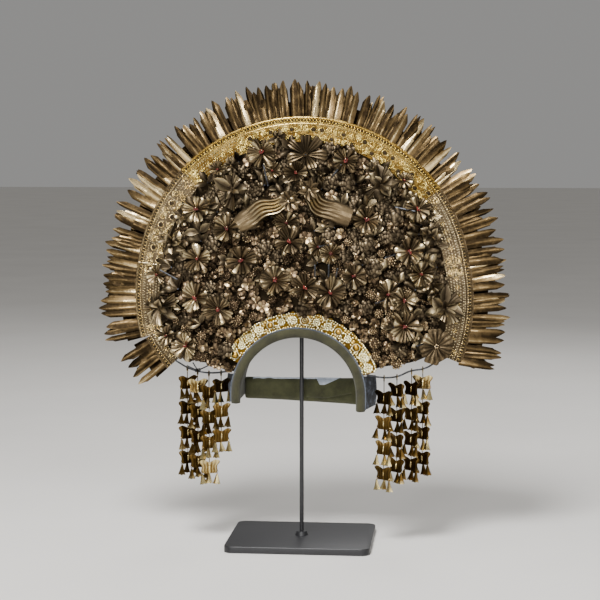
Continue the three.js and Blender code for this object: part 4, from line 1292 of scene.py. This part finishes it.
def bird(node, spine, head, beak, gilded):
    """A bird of ribbed sheet: a long swept tail, a ruff of short feathers, a head and a beak."""
    front = corners(node)[0].y + 5
    steps = np.linspace(0, 1, len(spine))
    rows = np.array(spine)

    def along(v):
        """Across, up and half width at a share of the spine."""
        return np.array([np.interp(v, steps, rows[:, k]) for k in range(3)])

    def plain(v):
        """The ribs die out towards the breast and the end of the tail."""
        return min(max(min((v - 0.02) / 0.2, (0.82 - v) / 0.4), 0.05), 1)

    def ribbed(u, v):
        """A point on the ribbed sheet."""
        across, up, half = along(v)
        ahead = along(min(v + 0.05, 1)) - along(max(v - 0.05, 0))
        side = np.array((-ahead[1], ahead[0])) / math.hypot(ahead[0], ahead[1])
        sway = BIRD_SWAY * math.sin(3 * math.pi * v) * math.sin(math.pi * min(1.4 * v, 1))
        offset = (2 * u - 1) * half + sway
        ridge = RIB_DEEP * math.cos(2 * math.pi * RIBS * u) * plain(v)
        crown = BIRD_CROWN * (1 - (2 * u - 1) ** 2)
        return Vector((across + side[0] * offset, front - crown + ridge, up + side[1] * offset))

    def wear_and_sheen(u, v):
        """Rubbed bright on the ribs, partly painted highlight, less towards the tail, and painted darker at
        the edges as shade.
        """
        # Painted shade: darker towards the edges, which tones down the glint along them
        edge = max(abs(2 * u - 1) - 0.7, 0)
        return 0.5 - 0.5 * math.cos(2 * math.pi * RIBS * u) * plain(v) - 0.5 * v - 2 * edge

    tray = Tray()
    tray.lay(mapped_sheet(RIBS * 6, 24, ribbed, 0.5, wear_and_sheen), tone=gilded, contrast=0.5)
    across, up = head
    ruff_across, ruff_up = spine[0][0] + 3, spine[0][1] - 0.5
    for k in range(9):
        place = round_place(2, 40 * k + chance.uniform(-6, 6), front - 3.4, ruff_up, ruff_across)
        place = place @ turn("X", chance.uniform(2, 14))
        feather = place @ sized(0.42, chance.uniform(0.36, 0.5), 0.4)
        tray.lay(LEAF_PETALS[k % 4], feather, chance.uniform(0.1, 0.4))
    crown = Vector((across, front - 4.5, up))
    tray.lay(BEAD, Matrix.Translation(crown) @ sized(4.6, 3.2, 4.2), tone=0.5)
    tray.lay(SPIKE, between(crown, Vector((beak[0], front - 4.5, beak[1])), 2.2), tone=0.55)
    tray.lay(GRANULE, Matrix.Translation(crown + Vector((0, -3.0, 0.8))) @ evenly(0.9), tone=1.0)
    for k in range(3):
        place = round_place(3, 70 + 22 * k, front - 4, up, across)
        tray.lay(LEAF_PETALS[0], place @ sized(0.26, 0.3, 0.3), tone=0.5)
    middle = Vector((rows[2][0], front - 1, rows[2][1]))
    tray.lay(WIRE, between(middle, fan_foot(middle.x, middle.z), STEM), tone=0.4, slot=1)
    return tray.piece(node + "_plate", [aged_gilt, tin], crease=30)


for node, row in BIRDS.items():
    seat(bird(node, *row), "aged_gilt", node)


# Wires and drops

SIDE_WIRES = {  # across, depth, up
    "side_wire_left": [
        (-69.6, -12, 209),
        (-90, -10, 204),
        (-114, -5, 202),
        (-134, 0, 206),
        (-152.5, 8, 214.5),
    ],
    "side_wire_right": [
        (70.6, -12, 205),
        (90, -10, 200),
        (112, -6, 200),
        (128, -1, 206),
        (148, 5, 210),
        (164.5, 11.2, 222.2),
    ],
}
SIDE_WIRE, KNOT_WIRE = 1.1, 0.8  # radius


def strand(name, points, radius, finish):
    """A length of soft wire or cord through a few points."""
    bpy.ops.object.select_all(action="DESELECT")
    bpy.ops.curve.primitive_nurbs_path_add()
    made = bpy.context.object
    made.data.splines.clear()
    spline = made.data.splines.new("BEZIER")
    spline.bezier_points.add(len(points) - 1)
    for knot, point in zip(spline.bezier_points, points):
        knot.co = Vector(point) * MM
        knot.handle_left_type = knot.handle_right_type = "AUTO"
    made.data.bevel_depth = radius * MM
    made.data.bevel_resolution = 2
    made.data.resolution_u = 10
    made.data.use_fill_caps = True
    bpy.ops.object.convert(target="MESH")
    made = bpy.context.object
    made.name = made.data.name = name
    made.data.materials.clear()
    made.data.materials.append(finish)
    creased(made, 50)
    return made


for node, points in SIDE_WIRES.items():
    seat(strand(node + "_strand", points, SIDE_WIRE, tin_wire), "tin", node)

KNOT = Vector((-124, -2.6, 204))
KNOT_ENDS = [(-129, -7, 214), (-108, -9, 212), (-137, -4, 210)]
tray = Tray()
for end in KNOT_ENDS:
    tray.lay(WIRE, between(KNOT, Vector(end), KNOT_WIRE))
for k in range(5):
    coil = Matrix.Translation(KNOT + Vector((1.3 * k - 2.6, 0, 0.3 * k))) @ turn("Y", 80) @ turn("X", 12)
    tray.lay(RING, coil @ evenly(1.25))
seat(tray.piece("twisted_wire_ends", [tin_wire], crease=50), "tin")

PENDANTS = [  # node, tiers, lower, turn, then the tiers whose wings and whose bells are still bright
    ("pendant_l1", 4, 6, 38, (), ()),
    ("pendant_l2", 4, 6, 36, (0,), ()),
    ("pendant_l3", 4, 11, 40, (3,), (0, 2, 3)),
    ("pendant_l4", 3, 4, 38, (), (0, 2)),
    ("pendant_r1", 4, 12, -36, (), (2, 3)),
    ("pendant_r2", 4, 4, -40, (), ()),
    ("pendant_r3", 4, 9, -38, (), (0,)),
    ("pendant_r4", 4, 4, -36, (0,), (0, 2)),
]
RING_RADIUS, RING_WIRE = 3.6, 0.7
TIER_PITCH = 30
BELL_SPOTS = ((-9, -1.8), (0, 1.8), (9, -1.8))
WINGS_DOWN, EYES_DOWN, BELLS_DOWN = 6.4, 13.4, 15.4


def drop_string(node, tiers, lower, spin, bright_wings, bright_bells):
    """A string of butterfly plates, each with a row of bells under it."""
    lo, hi = corners(node)
    across, depth = (lo.x + hi.x) / 2, (lo.y + hi.y) / 2
    ring_up = hi.z - RING_RADIUS - RING_WIRE
    tray = Tray()
    tray.lay(RING, shift(across, depth, ring_up) @ turn("Y", 90) @ sized(2.4, 2.4, 1.9), tone=0.6)
    top = ring_up - RING_RADIUS
    for tier in range(tiers):
        start = top - lower - tier * TIER_PITCH
        bright = tier in bright_wings
        facing_front = 0.55 if bright else 1.0
        plumb = shift(across, depth, start) @ turn("Z", facing_front * spin + chance.uniform(-5, 5))
        tone = 0.75 if bright else chance.uniform(0.25, 0.55)
        face = plumb @ shift(0, 0, -WINGS_DOWN) @ turn("X", 90) @ turn("X", chance.uniform(-8, 8))
        tray.lay(BUTTERFLY, face, tone, contrast=0.9)
        tray.lay(BEAD, face @ shift(0, -1, 0.6) @ sized(1.1, 5.0, 1.1), tone + 0.1)
        ring_tone = 0.85 if tier in bright_bells else chance.uniform(0.15, 0.45)
        for x, y in BELL_SPOTS:
            hang = plumb @ shift(x, y, -BELLS_DOWN + chance.uniform(-1.2, 0.6))
            tray.lay(RING, plumb @ shift(x, 0.3 * y, -EYES_DOWN) @ turn("X", 90) @ evenly(0.8), tone=0.4)
            tray.lay(WIRE, between(plumb @ Vector((x, 0.3 * y, -14)), hang @ Vector((0, 0, -1)), 0.5), 0.4)
            bell = hang @ turn("Y", chance.uniform(-9, 9)) @ turn("X", chance.uniform(-9, 9))
            tray.lay(BELL, bell, ring_tone + chance.uniform(-0.15, 0.2))
            tray.lay(GRANULE, bell @ evenly(1.0), tone=0.4)
        above = start + (lower if tier == 0 else TIER_PITCH - 13)
        low, high = Vector((across, depth, start - 3.5)), Vector((across, depth, above))
        tray.lay(WIRE, between(low, high, 0.55), tone=0.3)
    return tray.piece(node + "_string", [orange_gilt])


for row in PENDANTS:
    seat(drop_string(*row), "orange_gilt", row[0])


# Head band, roll and bar

LEFT_FOOT, RIGHT_FOOT = 173, 165
TABS = ((-1, 18, 170), (1, 13, 159))  # side, reach outwards, foot
TAB_TOP, TAB_FRONT, TAB_BACK, TAB_BULGE, TAB_TORN = 200, -8, 24, 1.5, 1.6


def arch_spot(radius, depth, share, left_foot, right_foot):
    """A point on the arch: share runs up the right leg, over the top and down the left leg."""
    rise, arc = ARCH_UP - right_foot, math.pi * radius
    run = share * (rise + arc + ARCH_UP - left_foot) - rise
    if run < 0:
        return Vector((radius, depth, ARCH_UP + run))
    if run > arc:
        return Vector((-radius, depth, ARCH_UP - (run - arc)))
    angle = run / radius
    return Vector((radius * math.cos(angle), depth, ARCH_UP + radius * math.sin(angle)))


def head_band():
    """The arched sheet with its cloth lining and a flared tin tab at each foot."""
    tray = Tray()
    for radius, thick, slot in ((BAND_RADIUS + 0.4, 1.6, 0), (BAND_RADIUS - 0.8, 0.8, 1)):

        def arched(u, v):
            """A point on the arched sheet."""
            return arch_spot(radius, blend(BAND_FRONT, BAND_BACK, v), u, LEFT_FOOT, RIGHT_FOOT)

        tray.lay(mapped_sheet(80, 6, arched, thick), slot=slot)
    for side, reach, foot in TABS:

        def flared(u, v):
            """A point on a tab, torn along its upper and lower edge."""
            bulge = TAB_BULGE * math.sin(math.pi * v) * u
            torn = TAB_TORN * noise.noise((side * 9, 6 * u, 9 * v))
            up = blend(foot + 3 * u, TAB_TOP - 2 * u, v) + torn * (1 if v in (0, 1) else 0)
            out = BAND_RADIUS + 1 + reach * u + bulge
            return Vector((side * out, blend(TAB_FRONT, TAB_BACK, u), up))

        tray.lay(mapped_sheet(8, 10, flared, 1.0))
    return tray.piece("head_band_sheet", [tin, shaded_olive_cotton])


seat(head_band(), "tin", "head_band")


LEG_STEPS, ARCH_STEPS = 6, 72


def drawn_out(rise):
    """Draw the selected end of a tube straight up or down in a few steps."""
    for _ in range(LEG_STEPS):
        step = {"value": (0, 0, rise * MM / LEG_STEPS)}
        bpy.ops.mesh.extrude_region_move(TRANSFORM_OT_translate=step)


def arch_tube(name, half_wide, half_deep, radius, depth, left_foot, right_foot, finish, sides=20):
    """A tube over the arch with straight legs, closed at its feet."""
    bpy.ops.object.select_all(action="DESELECT")
    bpy.ops.mesh.primitive_circle_add(vertices=sides, radius=1, fill_type="NOTHING")
    made = bpy.context.object
    made.name = made.data.name = name
    bpy.ops.object.mode_set(mode="EDIT")
    bpy.ops.mesh.select_all(action="SELECT")
    bpy.ops.transform.resize(value=(half_wide * MM, half_deep * MM, 1), center_override=(0, 0, 0))
    bpy.ops.transform.translate(value=(radius * MM, depth * MM, right_foot * MM))
    bpy.ops.mesh.edge_face_add()
    drawn_out(ARCH_UP - right_foot)
    bpy.ops.mesh.spin(steps=ARCH_STEPS, angle=math.pi, center=(0, 0, ARCH_UP * MM), axis=(0, 1, 0))
    drawn_out(left_foot - ARCH_UP)
    bpy.ops.mesh.select_all(action="SELECT")
    bpy.ops.mesh.remove_doubles(threshold=1e-5)
    bpy.ops.mesh.normals_make_consistent(inside=False)
    bpy.ops.object.mode_set(mode="OBJECT")
    made.data.materials.append(finish)
    creased(made, 50)
    return made


SIM_SCALE = 10
SIM_FRAMES = 20


def stuffed(made, voxel, pressure, cap, held):
    """Fill a pad by cloth simulation. It swells and puckers, but stays where it is held.

    So small a pad is simulated at ten times its size."""
    chosen(made)
    made.data.transform(Matrix.Scale(SIM_SCALE, 4))
    made.data.remesh_voxel_size = voxel * MM * SIM_SCALE
    bpy.ops.object.voxel_remesh()
    start = np.array([p.co[:] for p in made.data.vertices])
    kept = made.vertex_groups.new(name="held")
    kept.add([i for i, p in enumerate(start) if held(p / (MM * SIM_SCALE))], 1.0, "REPLACE")
    bpy.ops.object.modifier_add(type="CLOTH")
    cloth = made.modifiers[-1]
    cloth.settings.vertex_group_mass = "held"
    cloth.settings.use_pressure = True
    cloth.settings.uniform_pressure_force = pressure
    cloth.settings.effector_weights.gravity = 0
    cloth.point_cache.frame_end = SIM_FRAMES
    for frame_number in range(1, SIM_FRAMES + 1):
        bpy.context.scene.frame_set(frame_number)
    bpy.ops.object.modifier_apply(modifier=cloth.name)
    bpy.context.scene.frame_set(1)
    swollen = np.array([p.co[:] for p in made.data.vertices])
    moved = swollen - start
    reach = np.linalg.norm(moved, axis=1, keepdims=True)
    limit = cap * MM * SIM_SCALE
    ended = start + moved * np.minimum(1, limit / np.maximum(reach, 1e-9))
    made.data.vertices.foreach_set("co", ended.ravel())
    made.data.transform(Matrix.Scale(1 / SIM_SCALE, 4))
    made.vertex_groups.clear()
    bpy.ops.object.modifier_add(type="SUBSURF")
    made.modifiers[-1].levels = made.modifiers[-1].render_levels = 1
    bpy.ops.object.modifier_apply(modifier=made.modifiers[-1].name)
    bpy.ops.object.shade_smooth()
    return made


ROLL_SEAM = -42.5
roll = arch_tube(
    "front_roll_pad",
    half_wide=5.5,
    half_deep=5.0,
    radius=BAND_RADIUS + 0.6,
    depth=-45.8,
    left_foot=172,
    right_foot=164,
    finish=shaded_olive_cotton,
)
stuffed(roll, voxel=1.6, pressure=4, cap=0.8, held=lambda p: p[1] > ROLL_SEAM)
seat(roll, "olive_cloth", "front_roll")
piping = arch_tube(
    "roll_piping",
    half_wide=0.7,
    half_deep=0.7,
    radius=BAND_RADIUS + 6.6,
    depth=-46.8,
    left_foot=174,
    right_foot=166,
    finish=grey_cotton,
    sides=8,
)
seat(piping, "olive_cloth")

BAR_HALF, BAR_TOP, BAR_FRONT, BAR_REAR = 70.2, 194.6, 16.4, 23.6
BAR_LEFT_FOOT, BAR_RIGHT_FOOT = 168.6, 162
BAR_EDGE, BAR_SEAM = 2.6, 3
BAR_FOLD = ((4, 170.5), (28, 169.5), (58, 176))  # across, up
FOLD_WIDE, FOLD_DEEP = 2.4, 2.4


def bar_pad():
    """The soft bar across the back: deeper at its right end, with a slack fold along its foot."""
    bpy.ops.object.select_all(action="DESELECT")
    bpy.ops.mesh.primitive_cube_add(size=2)
    made = bpy.context.object
    made.name = made.data.name = "back_bar_pad"
    bpy.ops.object.mode_set(mode="EDIT")
    bpy.ops.mesh.select_all(action="SELECT")
    half_deep = (BAR_REAR - BAR_FRONT) / 2
    bpy.ops.transform.resize(value=(BAR_HALF * MM, half_deep * MM, 1), center_override=(0, 0, 0))
    bpy.ops.transform.translate(value=(0, (BAR_FRONT + BAR_REAR) / 2 * MM, 0))
    for level, side, up in (
        (1, -1, BAR_TOP),
        (1, 1, BAR_TOP),
        (-1, -1, BAR_LEFT_FOOT),
        (-1, 1, BAR_RIGHT_FOOT),
    ):
        pick(lambda p: abs(p.z - level) < NEAR and p.x * side > 0)
        bpy.ops.transform.translate(value=(0, 0, up * MM - level))
    bpy.ops.mesh.select_all(action="SELECT")
    bpy.ops.mesh.bevel(offset=BAR_EDGE * MM, segments=3)
    bpy.ops.object.mode_set(mode="OBJECT")
    made.data.materials.append(olive_cotton)
    stuffed(made, voxel=1.8, pressure=3, cap=1.6, held=lambda p: abs(p[0]) > BAR_HALF - BAR_SEAM)
    for point in made.data.vertices:
        x, y, z = point.co / MM
        if y > (BAR_FRONT + BAR_REAR) / 2 or not BAR_FOLD[0][0] < x < BAR_FOLD[-1][0]:
            continue
        fold = np.interp(x, *zip(*BAR_FOLD))
        near = max(0.0, 1 - abs(z - fold) / FOLD_WIDE)
        point.co.y += FOLD_DEEP * near**2 * MM
    return made


bar = bar_pad()
seat(bar, "olive_cloth", "back_bar")


def on_bar(across, up):
    """A point on the front of the bar."""
    hit, where, _, _ = bar.ray_cast(Vector((across, -AWAY, up)) * MM, Vector((0, 1, 0)))
    return where / MM if hit else Vector((across, BAR_FRONT, up))


HEM_UP, HEM_FROM, HEM_TO, HEM_STEPS, HEM_RADIUS = 193.6, -60, 15, 12, 0.9
hem = [
    on_bar(blend(HEM_FROM, HEM_TO, k / HEM_STEPS), HEM_UP + 0.4 * (k % 2)) - Vector((0, 0.4, 0))
    for k in range(HEM_STEPS + 1)
]
seat(strand("bar_hem", hem, HEM_RADIUS, white_cotton), "olive_cloth")

TEAR = ((195.2, 14, 46), (192.3, 17, 39), (186.4, 20.4, 26))  # up, left edge, right edge


def torn_patch():
    """The pale lining that shows where the bar's cover is torn."""
    ups, lefts, rights = (np.array(column) for column in zip(*TEAR))
    order = np.linspace(0, 1, len(TEAR))

    def lining(u, v):
        """A point on the lining, frayed at its sides."""
        left, right = np.interp(v, order, lefts), np.interp(v, order, rights)
        frayed = 0.9 * noise.noise((5 * u, 9 * v, 2)) * (1 if u in (0, 1) else 0)
        across, up = blend(left, right, u) + frayed, np.interp(v, order, ups) + 0.4 * frayed
        return on_bar(across, up) - Vector((0, 0.35, 0))

    tray = Tray()
    tray.lay(mapped_sheet(16, 10, lining, 0.4))
    return tray.piece("torn_lining", [white_cotton])


seat(torn_patch(), "olive_cloth")


# Stand

BASE_SIZE, BASE_CORNER, BASE_EDGE = (170, 140, 8), 10, 1.2
ROD_RADIUS, ROD_SUNK, COLLAR_RADIUS, COLLAR_HEIGHT = 2.5, 0.4, 8, 5
SADDLE_RADIUS, SADDLE_THICK, SADDLE_HALF_ANGLE, SADDLE_HALF_DEPTH = 68.85, 3, 17, 14


def base_plate():
    """The base, with round corners and a softened upper edge."""
    thick = BASE_SIZE[2]
    bpy.ops.object.select_all(action="DESELECT")
    bpy.ops.mesh.primitive_cube_add(size=1, location=(0, 0, thick / 2), scale=BASE_SIZE)
    bpy.ops.object.transform_apply(location=True, scale=True)
    bpy.ops.object.mode_set(mode="EDIT")
    bpy.ops.mesh.select_mode(type="EDGE")
    bpy.ops.mesh.select_all(action="DESELECT")
    form = bmesh.from_edit_mesh(bpy.context.object.data)
    for edge in form.edges:
        edge.select = abs(edge.verts[0].co.z - edge.verts[1].co.z) > thick / 2
    bmesh.update_edit_mesh(bpy.context.object.data)
    bpy.ops.mesh.bevel(offset=BASE_CORNER, segments=8)
    pick(lambda f: f.normal.z > 0.9, "FACE")
    bpy.ops.mesh.bevel(offset=BASE_EDGE, segments=3)
    bpy.ops.object.mode_set(mode="OBJECT")
    return pattern()


def stand():
    """Base plate, rod with a collar at its foot, and the saddle under the arch."""

    def saddle(u, v):
        """A point on the saddle."""
        angle = math.radians(90 + SADDLE_HALF_ANGLE * (1 - 2 * u))
        depth = SADDLE_HALF_DEPTH * (2 * v - 1)
        return Vector((SADDLE_RADIUS * math.cos(angle), depth, ARCH_UP + SADDLE_RADIUS * math.sin(angle)))

    foot = BASE_SIZE[2] - ROD_SUNK
    tray = Tray()
    tray.lay(base_plate())
    tray.lay(POST, shift(0, 0, foot) @ sized(ROD_RADIUS, ROD_RADIUS, ARCH_UP + SADDLE_RADIUS - foot))
    tray.lay(COLLAR, shift(0, 0, foot) @ sized(COLLAR_RADIUS, COLLAR_RADIUS, COLLAR_HEIGHT))
    tray.lay(mapped_sheet(16, 4, saddle, SADDLE_THICK))
    return tray.piece("stand_body", [black_paint], crease=30)


seat(stand(), "black_steel", "stand")


# Floor, light and camera

FLOOR_WIDE, SKY_STRENGTH = 40, 0.4


def pale_floor():
    """The plain floor, which is no part of the crown."""
    bpy.ops.object.select_all(action="DESELECT")
    bpy.ops.mesh.primitive_plane_add(size=FLOOR_WIDE, location=(0, 0, 0))
    made = bpy.context.object
    made.name = "floor"
    material, tree, shader, coords = blank("pale_matt_floor", Roughness=0.9)
    cloud = add(tree, "TexNoise", {"Scale": 3.0, "Detail": 3.0}, {"Vector": coords}).outputs["Fac"]
    ramp = add(tree, "ValToRGB", {"stops": [(0.3, "#dedbd6"), (0.7, "#e4e1dc")]}, {"Fac": cloud})
    tree.links.new(ramp.outputs["Color"], shader.inputs["Base Color"])
    made.data.materials.append(material)


pale_floor()

world = bpy.data.worlds.new("studio")
bpy.context.scene.world = world
world.use_nodes = True
world.node_tree.nodes["Background"].inputs["Color"].default_value = linear("#dcdbd9")
world.node_tree.nodes["Background"].inputs["Strength"].default_value = SKY_STRENGTH

LIGHTS = [  # name, place, aim, size, watts
    ("key", (-0.3, -1.1, 1.8), (0, 0, 0.33), 0.6, 62),
    ("front", (-0.2, -2.4, 0.75), (0, 0, 0.3), 0.5, 26),
    ("fill", (1.3, -1.6, 0.8), (0, 0, 0.3), 1.0, 6),
    ("rear", (0.4, 1.5, 1.6), (0, 0, 0.35), 1.2, 16),
]
for name, place, aim, size, watts in LIGHTS:
    lamp = bpy.data.lights.new(name, "AREA")
    lamp.size = size
    lamp.energy = watts
    held = bpy.data.objects.new(name, lamp)
    bpy.context.collection.objects.link(held)
    held.location = place
    held.rotation_euler = (Vector(aim) - Vector(place)).to_track_quat("-Z", "Y").to_euler()

AZIMUTH, ELEVATION, DISTANCE = math.radians(5.5), math.radians(5), 2.0
TARGET = Vector((-0.002, 0, 0.289))
FOCAL_PIXELS, PICTURE_PIXELS, SENSOR = 1695, 600, 36
lens = bpy.data.cameras.new("camera")
lens.sensor_width = SENSOR
lens.lens = SENSOR * FOCAL_PIXELS / PICTURE_PIXELS
camera = bpy.data.objects.new("camera", lens)
bpy.context.collection.objects.link(camera)
level = math.cos(ELEVATION)
away = Vector((math.sin(AZIMUTH) * level, -math.cos(AZIMUTH) * level, math.sin(ELEVATION)))
camera.location = TARGET + DISTANCE * away
camera.rotation_euler = (-away).to_track_quat("-Z", "Y").to_euler()
bpy.context.scene.camera = camera
